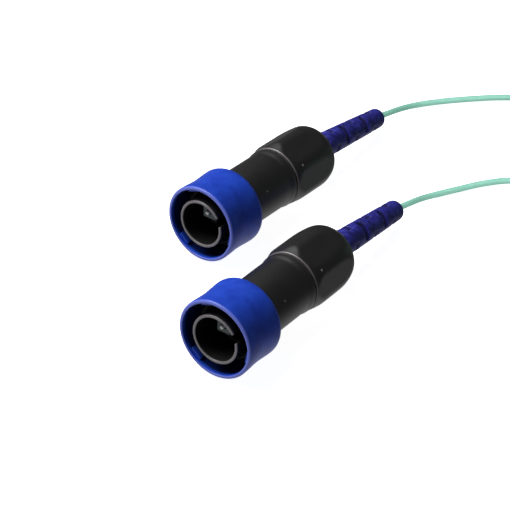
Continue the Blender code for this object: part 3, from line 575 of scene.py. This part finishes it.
def gland_nut():
    """A hexagon kept under a turned envelope: a cone in front and a dome behind."""
    front, rear, hole, corner = reach("gland_nut_a")
    flat = NUT_FLATS / 2
    rim = flat - NUT_FRONT_ROUND
    stations = []
    envelope = []
    for step in range(13):
        share = step / 12
        stations.append(front + (NUT_FRONT_CHAMFER + 0.2) * share ** 1.6)
        if stations[-1] < front + NUT_FRONT_ROUND:
            drop = 1 - (stations[-1] - front) / NUT_FRONT_ROUND
            envelope.append(flat - NUT_FRONT_ROUND * (1 - math.sqrt(1 - drop * drop)))
        else:
            slope = (corner - flat) / (NUT_FRONT_CHAMFER - NUT_FRONT_ROUND)
            envelope.append(flat + slope * (stations[-1] - front - NUT_FRONT_ROUND))
    start = rear - NUT_REAR_ROUND_LENGTH
    for step in range(1, 12):
        cone_end = front + NUT_FRONT_CHAMFER + 0.2
        stations.append(cone_end + (start - cone_end) * step / 12)
        envelope.append(corner + 1.0)
    for step in range(25):
        angle = math.radians(90 * step / 24)
        stations.append(start + NUT_REAR_ROUND_LENGTH * math.sin(angle))
        envelope.append(corner + 0.1 - (NUT_REAR_ROUND + 0.1) * (1 - math.cos(angle)))
    rings = []
    for station, limit in zip(stations, envelope):
        ring = []
        for step in range(AROUND):
            degrees = 360 * step / AROUND
            radius = blend_min(nut_flat_radius(degrees), limit, NUT_EDGE_BLEND)
            angle = math.radians(degrees)
            ring.append((radius * math.cos(angle), station, radius * math.sin(angle)))
        rings.append(ring)
    for radius, station in [(hole + 0.5, rear), (hole + 0.2, rear + 0.02), (hole, rear - 0.2),
                            (hole, rear - NUT_REAR_WALL), (SPIGOT_DIA / 2 + 0.3, rear - NUT_REAR_WALL),
                            (SPIGOT_DIA / 2 + 0.3, front + 0.2), (SPIGOT_DIA / 2 + 0.5, front)]:
        ring = []
        for step in range(AROUND):
            angle = math.tau * step / AROUND
            ring.append((radius * math.cos(angle), station, radius * math.sin(angle)))
        rings.append(ring)

    # painted highlight on the nut's front edge, and a streak on top near its rear edge
    def painted_highlight(radius, station, height):
        if radius < rim - 0.3:
            return 0.0
        if station > rear - 2.0:
            return near(station, rear - STREAK_INSET, *STREAK_HIGHLIGHT) * (height / radius) ** 3
        return near(station, front + 0.1, *EDGE_HIGHLIGHT) * top_lit_share(height, corner)

    # painted shade on the band at the nut's rear
    def painted_shade(radius, station, height):
        return 0.8 * min(1.0, (station - rear + NUT_REAR_SHADE[0]) / NUT_REAR_SHADE[1])

    return mark(skin("gland_nut", rings), painted_highlight, painted_shade)


def slot_depth(station):
    """Row number and how far down its wall a station lies in the boot's slots, from 0 outside to 1 inside."""
    wall = 0.3
    for row in range(SLOT_ROWS):
        start = NUT_REAR + SLOT_FIRST + row * SLOT_PITCH
        if start - wall < station < start + SLOT_LENGTH + wall:
            inside = min(station - start, start + SLOT_LENGTH - station)
            return row, ease((inside + wall / 2) / wall)
    return 0, 0.0


def strain_relief_boot():
    """The tapered boot with crossed pairs of slots, bent a little down by the cable's weight."""
    base = BOOT_BASE_DIA / 2
    tip = BOOT_TIP_DIA / 2
    hole = CABLE_DIA / 2 + 0.3
    front = reach("strain_relief_boot_a")[0]
    flange = reach("strain_relief_boot_a")[3]
    corners = [(hole, front, 0), (flange, front, 0)]
    corners += [(flange, front + BOOT_FLANGE, 0), (base, front + BOOT_FLANGE, 0)]
    outline = rounded(corners, closed=False)
    stations = []
    station = NUT_REAR - 0.6
    while station < BOOT_REAR - BOOT_TIP_ROUND - BOOT_RING_STEP:
        stations.append(station)
        station += BOOT_RING_STEP
    rings = []
    for radius, place in outline:
        rings.append([(radius, place)] * AROUND)
    for place in stations:
        outer = base + (tip - base) * max(0.0, place - NUT_REAR) / BOOT_LENGTH
        row, depth = slot_depth(place)
        ring = []
        for step in range(AROUND):
            angle = math.tau * step / AROUND
            facing = angle - math.radians(45 + 90 * (row % 2))
            floor = SLOT_CORE / 2 / max(0.2, abs(math.cos(facing)))
            cut = blend_min(outer, floor, 0.15)
            ring.append((outer + (cut - outer) * depth, place))
        rings.append(ring)
    for step in range(1, 11):
        angle = math.radians(90 * step / 10)
        radius = tip - BOOT_TIP_ROUND * (1 - math.cos(angle))
        rings.append([(radius, BOOT_REAR - BOOT_TIP_ROUND * (1 - math.sin(angle)))] * AROUND)
    rings.append([(hole + 0.2, BOOT_REAR)] * AROUND)
    rings.append([(hole, BOOT_REAR - 0.2)] * AROUND)
    rings.append([(hole, NUT_REAR)] * AROUND)
    placed = []
    for ring in rings:
        points = []
        for step, (radius, place) in enumerate(ring):
            angle = math.tau * step / AROUND
            along, height, droop = boot_axis(place)
            up = radius * math.sin(angle)
            lean = Vector((0.0, math.sin(droop), math.cos(droop))) * up
            points.append((radius * math.cos(angle), along + lean.y, height + lean.z))
        placed.append(points)
    made = smooth(skin("strain_relief_boot", placed))
    # painted shade in the slots, darker with depth, none near the tip
    shares = made.attributes.new("painted_shade", "FLOAT", "POINT")
    for vertex, share in zip(made.vertices, shares.data):
        place = vertex.co / MM
        outer = base + (tip - base) * max(0.0, place.y - NUT_REAR) / BOOT_LENGTH
        middle = boot_axis(place.y)[1]
        depth = outer - math.hypot(place.x, place.z - middle)
        shade = (depth - SLOT_SHADE[0]) / SLOT_SHADE[1] if place.y < BOOT_REAR - TIP_UNSHADED else 0.0
        share.value = min(1.0, max(0.0, shade))
    return made


def raised_dot(name, size, height):
    """A low round pip, its rim tucked under the surface it stands on; the mesh's own +Z is outwards."""
    profile = [(size / 2, -DOT_SINK)]
    for step in range(8):
        angle = math.radians(90 * step / 8)
        profile.append((size / 2 * math.cos(angle), height * math.sin(angle)))
    build = bmesh.new()
    rows = []
    for radius, lift in profile:
        row = []
        for step in range(DOT_SIDES):
            turn = math.tau * step / DOT_SIDES
            row.append(build.verts.new(Vector((radius * math.cos(turn), radius * math.sin(turn), lift)) * MM))
        rows.append(row)
    for row, after in zip(rows, rows[1:]):
        for step in range(DOT_SIDES):
            other = (step + 1) % DOT_SIDES
            build.faces.new((row[step], row[other], after[other], after[step]))
    top = build.verts.new(Vector((0.0, 0.0, height)) * MM)
    for step in range(DOT_SIDES):
        build.faces.new((rows[-1][step], rows[-1][(step + 1) % DOT_SIDES], top))
    build.faces.new(list(reversed(rows[0])))
    mesh = bpy.data.meshes.new(name)
    build.to_mesh(mesh)
    build.free()
    return smooth(mesh)


def dot_place(station, degrees, radius):
    """Where a pip stands on a plug's skin, in the plug's frame, and how it is turned."""
    angle = math.radians(degrees)
    outward = Vector((math.cos(angle), 0.0, math.sin(angle)))
    along = Vector((0.0, 1.0, 0.0))
    turn = Matrix((along, outward.cross(along), outward)).transposed().to_4x4()
    return Matrix.Translation((outward * radius + along * station) * MM) @ turn


def tie_loop(low, high, round_size, steps=8):
    """A rounded rectangle of points (distance from the coil's centre, height)."""
    points = []
    corners = ((high[0], high[1], 0), (low[0], high[1], 90), (low[0], low[1], 180), (high[0], low[1], 270))
    for out, up, start in corners:
        middle_out = out - math.copysign(round_size, out - (low[0] + high[0]) / 2)
        middle_up = up - math.copysign(round_size, up - (low[1] + high[1]) / 2)
        for step in range(steps + 1):
            angle = math.radians(start + 90 * step / steps)
            arm = Vector((math.cos(angle), math.sin(angle))) * round_size
            points.append((middle_out + arm.x, middle_up + arm.y))
    return points


def coil_tie():
    """A strap round the bundle, with its free end lapped over the top and rounded off."""
    half = COIL_ROWS * CABLE_DIA / 2 + SEAT_GAP
    middle = TIE_THICKNESS + half
    top = middle + half + TIE_THICKNESS
    inner = tie_loop((COIL_RADIUS - half, middle - half), (COIL_RADIUS + half, middle + half),
                     TIE_INNER_ROUND)
    outer = tie_loop((COIL_RADIUS - half - TIE_THICKNESS, 0.0), (COIL_RADIUS + half + TIE_THICKNESS, top),
                     TIE_OUTER_ROUND)
    width = TIE_WIDTH / 2
    rings = []
    for (in_out, in_up), (out_out, out_up) in zip(inner, outer):
        inside = Vector((in_out, in_up))
        outside = Vector((out_out, out_up))
        step = (outside - inside) * (TIE_EDGE / TIE_THICKNESS)
        flank = width - TIE_EDGE
        section = [(inside, flank), (inside + step, width), (outside - step, width), (outside, flank)]
        section += [(outside, -flank), (outside - step, -width), (inside + step, -width), (inside, -flank)]
        rings.append([(spot.x, across, spot.y) for spot, across in section])
    band = skin("coil_tie", rings)
    tab = cube("tie_tab", (COIL_RADIUS - half + 1.2, -width + 0.1, top - 0.05),
               (COIL_RADIUS + half - 1.0, width - 0.1, top + TIE_TAB_HEIGHT), 0.22)
    return smooth(cut_or_join(band, [tab], "UNION"), 40.0)


def ferrule():
    """The ground ceramic pin with its rounded tip and the fibre's shallow dimple."""
    front, rear = reach("ferrule_a")[:2]
    low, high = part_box("ferrule_a")
    radius = (high.x - low.x) / 2 / MM
    corners = [(0.0, front + 0.1, 0), (0.09, front + 0.1, 0), (0.15, front, 0)]
    corners += [(radius - 0.2, front + 0.02, 0.1), (radius, front + 0.32, 0.2)]
    corners += [(radius, rear, 0), (0.0, rear, 0)]
    return smooth(turned("ferrule", rounded(corners, closed=False), closed=False, around=64))


def coil_place(degrees):
    """The coil's centre on the table, turned to a tie's angle."""
    low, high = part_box("cable_coil")
    centre = (low + high) / 2
    return Matrix.Translation((centre.x, centre.y, 0.0)) @ Matrix.Rotation(math.radians(degrees), 4, "Z")


NUT_REAR = reach("gland_nut_a")[1]
BOOT_REAR = NUT_REAR + BOOT_LENGTH


# Materials --------------------------------------------------------------------------------------------------


def linear(code):
    """An sRGB hex colour as linear red, green, blue and alpha."""
    parts = []
    for place in (0, 2, 4):
        value = int(code[place:place + 2], 16) / 255
        parts.append(value / 12.92 if value <= 0.04045 else ((value + 0.055) / 1.055) ** 2.4)
    return (*parts, 1.0)


def add(tree, kind, settings=None, links=None):
    """Add a shader node, set its properties and sockets, and link its sockets to other nodes' outputs."""
    node = tree.nodes.new("ShaderNode" + kind)
    for key, value in (settings or {}).items():
        if isinstance(key, str) and hasattr(node, key):
            setattr(node, key, value)
        else:
            node.inputs[key].default_value = value
    for key, source in (links or {}).items():
        tree.links.new(source, node.inputs[key])
    return node


def start_material(name, ior=None, metallic=0.0):
    """A new material with its Principled shader and the place on the object, in metres."""
    material = bpy.data.materials.new(name)
    material.use_nodes = True
    tree = material.node_tree
    shader = tree.nodes["Principled BSDF"]
    shader.inputs["Metallic"].default_value = metallic
    if ior:
        shader.inputs["IOR"].default_value = ior
    place = add(tree, "TexCoord").outputs["Object"]
    return material, tree, shader, place


def tint(tree, shader, value, colours, spread=(0.3, 0.7)):
    """Colour the shader by a value that runs over two or more colours."""
    ramp = add(tree, "ValToRGB", links={"Fac": value})
    stops = ramp.color_ramp.elements
    for index, code in enumerate(colours):
        share = index / (len(colours) - 1)
        if 0 < index < len(colours) - 1:
            stop = stops.new(spread[0] + (spread[1] - spread[0]) * share)
        else:
            stop = stops[0 if index == 0 else len(stops) - 1]
            stop.position = spread[0] + (spread[1] - spread[0]) * share
        stop.color = linear(code)
    tree.links.new(ramp.outputs["Color"], shader.inputs["Base Color"])


def recolour(tree, shader, attribute, code, share):
    """Mix another colour over the shader's own where a mesh's attribute says so."""
    own = shader.inputs["Base Color"].links[0].from_socket
    where = add(tree, "Attribute", {"attribute_name": attribute}).outputs["Fac"]
    amount = add(tree, "Math", {"operation": "MULTIPLY", 1: share}, {0: where}).outputs["Value"]
    mix = add(tree, "Mix", {"data_type": "RGBA", 7: linear(code)}, {0: amount, 6: own})
    tree.links.new(mix.outputs[2], shader.inputs["Base Color"])


def rough_and_bump(tree, shader, value, rough, depth, strength=0.6):
    """Roughness between two limits and a bump of a depth in millimetres, both from one value."""
    spread = add(tree, "MapRange", {"To Min": rough[0], "To Max": rough[1]}, {"Value": value})
    bump = add(tree, "Bump", {"Strength": strength, "Distance": depth * MM}, {"Height": value})
    tree.links.new(spread.outputs["Result"], shader.inputs["Roughness"])
    tree.links.new(bump.outputs["Normal"], shader.inputs["Normal"])


def clouded(tree, place, cloud_size, grain_size, share):
    """Clouds with some grain over them, and the grain alone, each of a size in millimetres."""
    clouds = {"Scale": 1 / (cloud_size * MM), "Detail": 4.0, "Roughness": 0.6}
    cloud = add(tree, "TexNoise", clouds, {"Vector": place}).outputs["Fac"]
    grains = {"Scale": 1 / (grain_size * MM), "Detail": 4.0, "Roughness": 0.7}
    grain = add(tree, "TexNoise", grains, {"Vector": place}).outputs["Fac"]
    return add(tree, "Mix", {"Factor": share}, {2: cloud, 3: grain}).outputs[0], grain


def blue_nylon_moulded():
    """Moulded nylon: a deep even blue with a soft sheen, faintly clouded, with fine mould grain."""
    material, tree, shader, place = start_material("blue_nylon_moulded", ior=1.53)
    # mould grain is about 0.05 mm and is drawn at 0.4 mm so that it shows
    pattern, grain = clouded(tree, place, cloud_size=5.0, grain_size=0.4, share=0.25)
    tint(tree, shader, pattern, ("1636A4", "1F46C2", "2A55D2"))
    rough_and_bump(tree, shader, grain, (0.3, 0.46), 0.015)
    # painted highlight: the outer front rim is painted a pale blue where it would catch the light
    recolour(tree, shader, "painted_highlight", "6E7CDC", 0.9)
    # painted shade: the bore's wall behind the rim is painted a dark navy, darker with depth
    recolour(tree, shader, "painted_shade", "060A24", 0.88)
    shader.inputs["Specular IOR Level"].default_value = 0.32
    return material


def black_nylon_moulded(name="black_nylon_moulded", size=0.45, colours=("070708", "0D0D0E", "161618")):
    """Glass-filled nylon from a spark-eroded mould: a satin black with a grey bloom and fine grain."""
    material, tree, shader, place = start_material(name, ior=1.53)
    # spark-eroded grain is about 0.08 mm and is drawn coarser so that it shows
    pattern, grain = clouded(tree, place, cloud_size=4.0, grain_size=size, share=0.45)
    tint(tree, shader, pattern, colours)
    rough_and_bump(tree, shader, grain, (0.32, 0.52), 0.04)
    # painted highlight: the shroud rim, the collar edge and the nut's front and rear edges are painted a dull
    # grey, most on top where the light falls
    recolour(tree, shader, "painted_highlight", "767074", 0.85)
    # painted shade: the mouth's deep wall and the band at the nut's rear are painted near black
    recolour(tree, shader, "painted_shade", "020203", 0.95)
    shader.inputs["Specular IOR Level"].default_value = 0.95
    return material


def boot_elastomer():
    """Moulded thermoplastic elastomer: a dark violet blue, softly satin, mottled by handling."""
    material, tree, shader, place = start_material("boot_elastomer", ior=1.5)
    pattern, grain = clouded(tree, place, cloud_size=1.7, grain_size=0.35, share=0.3)
    tint(tree, shader, pattern, ("17175A", "25258A", "4444B4"), (0.36, 0.66))
    rough_and_bump(tree, shader, grain, (0.42, 0.58), 0.05)
    # painted shade: the slots are painted darker, deepest at their floors
    recolour(tree, shader, "painted_shade", "0C0C28", 0.85)
    return material


def aqua_jacket():
    """Low-smoke extruded jacket: an even matt aqua with fine draw lines and a slightly uneven skin."""
    material, tree, shader, place = start_material("aqua_jacket", ior=1.5)
    pattern, grain = clouded(tree, place, cloud_size=9.0, grain_size=0.5, share=0.35)
    tint(tree, shader, pattern, ("7ABAA6", "87C3B0", "93CDBC"))
    rough_and_bump(tree, shader, grain, (0.42, 0.56), 0.02)
    return material


def zirconia_polished():
    """Sintered zirconia, ground and polished: a hard bright white, a sharp gloss, faint grinding marks."""
    material, tree, shader, place = start_material("zirconia_polished", ior=2.1)
    pattern = clouded(tree, place, cloud_size=1.2, grain_size=0.2, share=0.2)[0]
    grinding = {"bands_direction": "Y", "Scale": 900.0, "Distortion": 1.5}
    marks = add(tree, "TexWave", grinding, {"Vector": place})
    tint(tree, shader, pattern, ("E6E6E1", "F4F4F0"))
    rough_and_bump(tree, shader, marks.outputs["Fac"], (0.1, 0.18), 0.002)
    return material


def teal_connector_plastic():
    """Moulded polyetherimide-type connector plastic: a dim grey teal, smooth from a polished mould."""
    material, tree, shader, place = start_material("teal_connector_plastic", ior=1.6)
    pattern, grain = clouded(tree, place, cloud_size=1.8, grain_size=0.25, share=0.3)
    tint(tree, shader, pattern, ("1A2C30", "223A3D", "2E4A4E"))
    rough_and_bump(tree, shader, grain, (0.26, 0.4), 0.01)
    return material


def seal_rubber_matt():
    """Silicone seal rubber: dull black with a dusty bloom and a very fine texture."""
    material, tree, shader, place = start_material("seal_rubber_matt", ior=1.43)
    pattern, grain = clouded(tree, place, cloud_size=1.6, grain_size=0.2, share=0.5)
    tint(tree, shader, pattern, ("0A0A0B", "101012", "18181A"))
    rough_and_bump(tree, shader, grain, (0.62, 0.8), 0.02)
    return material


def spring_steel_drawn():
    """Drawn spring steel: bright grey metal with fine drawing marks and a trace of heat tint."""
    material, tree, shader, place = start_material("spring_steel_drawn", metallic=1.0)
    pattern, grain = clouded(tree, place, cloud_size=1.5, grain_size=0.12, share=0.4)
    tint(tree, shader, pattern, ("8A8884", "A3A29E", "B4B3B0"))
    rough_and_bump(tree, shader, grain, (0.24, 0.4), 0.004)
    return material


def nickel_plated_brass():
    """Turned brass under bright nickel: a warm silver gloss with faint turning rings."""
    material, tree, shader, place = start_material("nickel_plated_brass", metallic=1.0)
    pattern, grain = clouded(tree, place, cloud_size=1.5, grain_size=0.3, share=0.2)
    turning = {"bands_direction": "Y", "Scale": 1200.0, "Distortion": 0.6}
    rings = add(tree, "TexWave", turning, {"Vector": place})
    height = add(tree, "Mix", {"Factor": 0.4}, {2: rings.outputs["Fac"], 3: grain}).outputs[0]
    tint(tree, shader, pattern, ("A8A296", "BDB8AD", "C8C4BA"))
    rough_and_bump(tree, shader, height, (0.16, 0.28), 0.003)
    return material


def buffer_plastic_smooth():
    """Tight-buffered fibre: a smooth pale aqua plastic skin with slight pooling of its colour."""
    material, tree, shader, place = start_material("buffer_plastic_smooth", ior=1.5)
    pattern, grain = clouded(tree, place, cloud_size=1.4, grain_size=0.3, share=0.3)
    tint(tree, shader, pattern, ("6DB6A4", "7EC4B1", "8CCFBE"))
    rough_and_bump(tree, shader, grain, (0.3, 0.42), 0.006)
    return material


def hook_and_loop_woven():
    """Woven nylon hook-and-loop strap: a dull black of 0.5 mm threads with a faint fuzz of loops."""
    material, tree, shader, place = start_material("hook_and_loop_woven", ior=1.5)
    threads = {"bands_direction": "Z", "Scale": 320.0, "Distortion": 0.8}
    weave = add(tree, "TexWave", threads, {"Vector": place})
    fuzz = clouded(tree, place, cloud_size=2.0, grain_size=0.3, share=0.8)[0]
    height = add(tree, "Mix", {"Factor": 0.55}, {2: weave.outputs["Fac"], 3: fuzz}).outputs[0]
    tint(tree, shader, height, ("0C0C0D", "1C1C1E", "333336"))
    rough_and_bump(tree, shader, height, (0.75, 0.95), 0.08, 0.8)
    shader.inputs["Sheen Weight"].default_value = 0.35
    shader.inputs["Sheen Roughness"].default_value = 0.5
    return material


def paint(thing, material):
    """Make one material a thing's only finish."""
    thing.data.materials.clear()
    thing.data.materials.append(material)


def pale_sweep():
    """Seamless studio paper: an even white with a barely visible tooth."""
    material, tree, shader, place = start_material("pale_sweep", ior=1.4)
    tooth = clouded(tree, place, cloud_size=60.0, grain_size=1.5, share=0.7)[0]
    tint(tree, shader, tooth, ("F2F2F2", "F8F8F8"))
    rough_and_bump(tree, shader, tooth, (0.85, 0.95), 0.01)
    shader.inputs["Emission Color"].default_value = (1.0, 1.0, 1.0, 1.0)
    shader.inputs["Emission Strength"].default_value = FLOOR_GLOW
    return material


# Room -------------------------------------------------------------------------------------------------------

# The floor's glow and its side in metres, the way that the table throws light back, and the brightness
# of the room from behind that direction (0) to along it (1)
FLOOR_GLOW = 0.93
FLOOR_SIZE = 8.0
TABLE_GLOW_AIM = (-0.2, -0.25, -0.95)
ROOM_LEVELS = ((0.01, 0.08), (0.2, 0.24), (0.6, 0.6), (0.99, 0.75))

# Lights: place and aim in metres, sides in metres, and power in watts
SOFT_BOX = ((-0.42, -0.22, 0.72), (0.0, 0.0, 0.0), (0.5, 0.5), 9.0)
TABLE_BOUNCE = ((0.45, -0.35, 0.3), (0.03, 0.08, 0.0), (0.6, 0.6), 4.3)


def make_floor():
    """A square of paper under everything, which glows so that it stays white beside soft light."""
    build = bmesh.new()
    bmesh.ops.create_grid(build, x_segments=8, y_segments=8, size=FLOOR_SIZE / 2)
    mesh = bpy.data.meshes.new("floor")
    build.to_mesh(mesh)
    build.free()
    floor = show("floor", mesh)
    paint(floor, pale_sweep())
    floor.visible_diffuse = False
    floor.visible_glossy = False
    floor.visible_shadow = False


def area_light(name, place, aim, size, power, only=None):
    """A soft rectangular light; with only, it lights that one piece."""
    data = bpy.data.lights.new(name, "AREA")
    data.shape = "RECTANGLE"
    data.size = size[0]
    data.size_y = size[1]
    data.energy = power
    light = show(name, data)
    light.location = place
    light.rotation_euler = (Vector(aim) - Vector(place)).to_track_quat("-Z", "Y").to_euler()
    light.visible_camera = False
    if only:
        lit = bpy.data.collections.new(name + "_lights")
        lit.objects.link(only)
        light.light_linking.receiver_collection = lit


def make_lights(cable):
    """A soft box high on the left and a plain surround that is paler below than above."""
    world = bpy.data.worlds.new("studio")
    bpy.context.scene.world = world
    world.use_nodes = True
    tree = world.node_tree
    place = add(tree, "TexCoord").outputs["Generated"]
    facing = {"operation": "DOT_PRODUCT", 1: TABLE_GLOW_AIM}
    glow = add(tree, "VectorMath", facing, {0: place}).outputs["Value"]
    ramp = add(tree, "ValToRGB", links={"Fac": glow})
    stops = ramp.color_ramp.elements
    for share, level in ROOM_LEVELS:
        stop = stops.new(share)
        stop.color = (level, level, level, 1.0)
    stops.remove(stops[0])
    stops.remove(stops[len(stops) - 1])
    tree.links.new(ramp.outputs["Color"], tree.nodes["Background"].inputs["Color"])
    area_light("soft_box", *SOFT_BOX)
    area_light("table_bounce", *TABLE_BOUNCE, only=cable)


def lay_cord(finishes):
    """The cable from boot to boot and the two straps round its coil, all riding on the cord's root."""
    cable, path = make_cable()
    ride_along(cable, ROOT, "cable_jacket", finishes["cable_jacket"],
               "cable_run_a", "cable_run_b", "cable_coil")
    strap = coil_tie()
    for number, angle in enumerate(TIE_ANGLES, start=1):
        piece = show("coil_tie_strap_%d" % number, strap, coil_place(angle))
        ride_along(piece, ROOT, "tie_fabric", finishes["tie_fabric"], "coil_tie_%d" % number)
    return cable


def dress_plug(letter, skins, tip, dots, finishes):
    """Put the skins, the gate mark, the corner pip that is a painted highlight, the ferrule and its spring on one
    plug.
    """
    axes = plug_axes(letter)
    for name, (mesh, slot) in skins.items():
        body = "coupling_ring_" + letter if name == "coupling_ring" else ROOT
        piece = show(name + "_skin_" + letter, mesh, axes)
        ride_along(piece, body, slot, finishes[slot], name + "_" + letter)
    for name, (mesh, place, material) in dots.items():
        ride_along(show(name + "_" + letter, mesh, axes @ place), ROOT, "black_nylon", material)
    low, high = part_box("ferrule_" + letter)
    offset = (axes.inverted() @ ((low + high) / 2)).z
    piece = show("ferrule_skin_" + letter, tip, axes @ Matrix.Translation((0.0, 0.0, offset)))
    ride_along(piece, "ferrule_" + letter, "zirconia", finishes["zirconia"], "ferrule_" + letter)
    dress_spring(letter, finishes["spring_steel"])


def dress_spring(letter, steel):
    """The ferrule's spring: a copy of its CAD mesh with its own finish."""
    node = "ferrule_spring_" + letter
    piece = show("ferrule_spring_skin_" + letter, frame["nodes"][node].data.copy())
    ride_along(piece, ROOT, "spring_steel", steel, node)
    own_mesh(piece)


def main():
    """The camera and the cord first, then the CAD's finishes, the two plugs and the room."""
    make_camera()
    bpy.context.scene.view_settings.view_transform = "Standard"
    finishes = {"blue_nylon": blue_nylon_moulded(), "black_nylon": black_nylon_moulded(),
                "boot_rubber": boot_elastomer(), "zirconia": zirconia_polished(),
                "seal_rubber": seal_rubber_matt(), "spring_steel": spring_steel_drawn(),
                "plated_metal": nickel_plated_brass(), "connector_plastic": teal_connector_plastic(),
                "buffer_plastic": buffer_plastic_smooth(), "cable_jacket": aqua_jacket(),
                "tie_fabric": hook_and_loop_woven()}
    cable = lay_cord(finishes)
    for row in frame["record"]["subparts"]:
        paint(frame["nodes"][row["node"]], finishes[row["material_slot"]])
    skins = {"coupling_ring": (coupling_ring(), "blue_nylon"), "plug_body": (plug_body(), "black_nylon"),
             "gland_nut": (gland_nut(), "black_nylon"),
             "strain_relief_boot": (strain_relief_boot(), "boot_rubber")}
    # pale grey: the gate mark's own tone, and on the nut's corner pip a painted highlight
    pale_mark_and_highlight = black_nylon_moulded("black_nylon_pale_mark_and_highlight", 0.2, ("5A5653", "77706C", "8C8580"))
    dots = {}
    for name, sizes, radius in (("gate_mark", GATE_MARK, BODY_DIA / 2),
                                ("corner_highlight_pip", CORNER_HIGHLIGHT_PIP, reach("gland_nut_a")[3] - DOT_REST)):
        size, height, station, degrees = sizes
        dots[name] = (raised_dot(name, size, height), dot_place(station, degrees, radius), pale_mark_and_highlight)
    tip = ferrule()
    for letter in PLUGS:
        dress_plug(letter, skins, tip, dots, finishes)
    make_floor()
    make_lights(cable)


main()
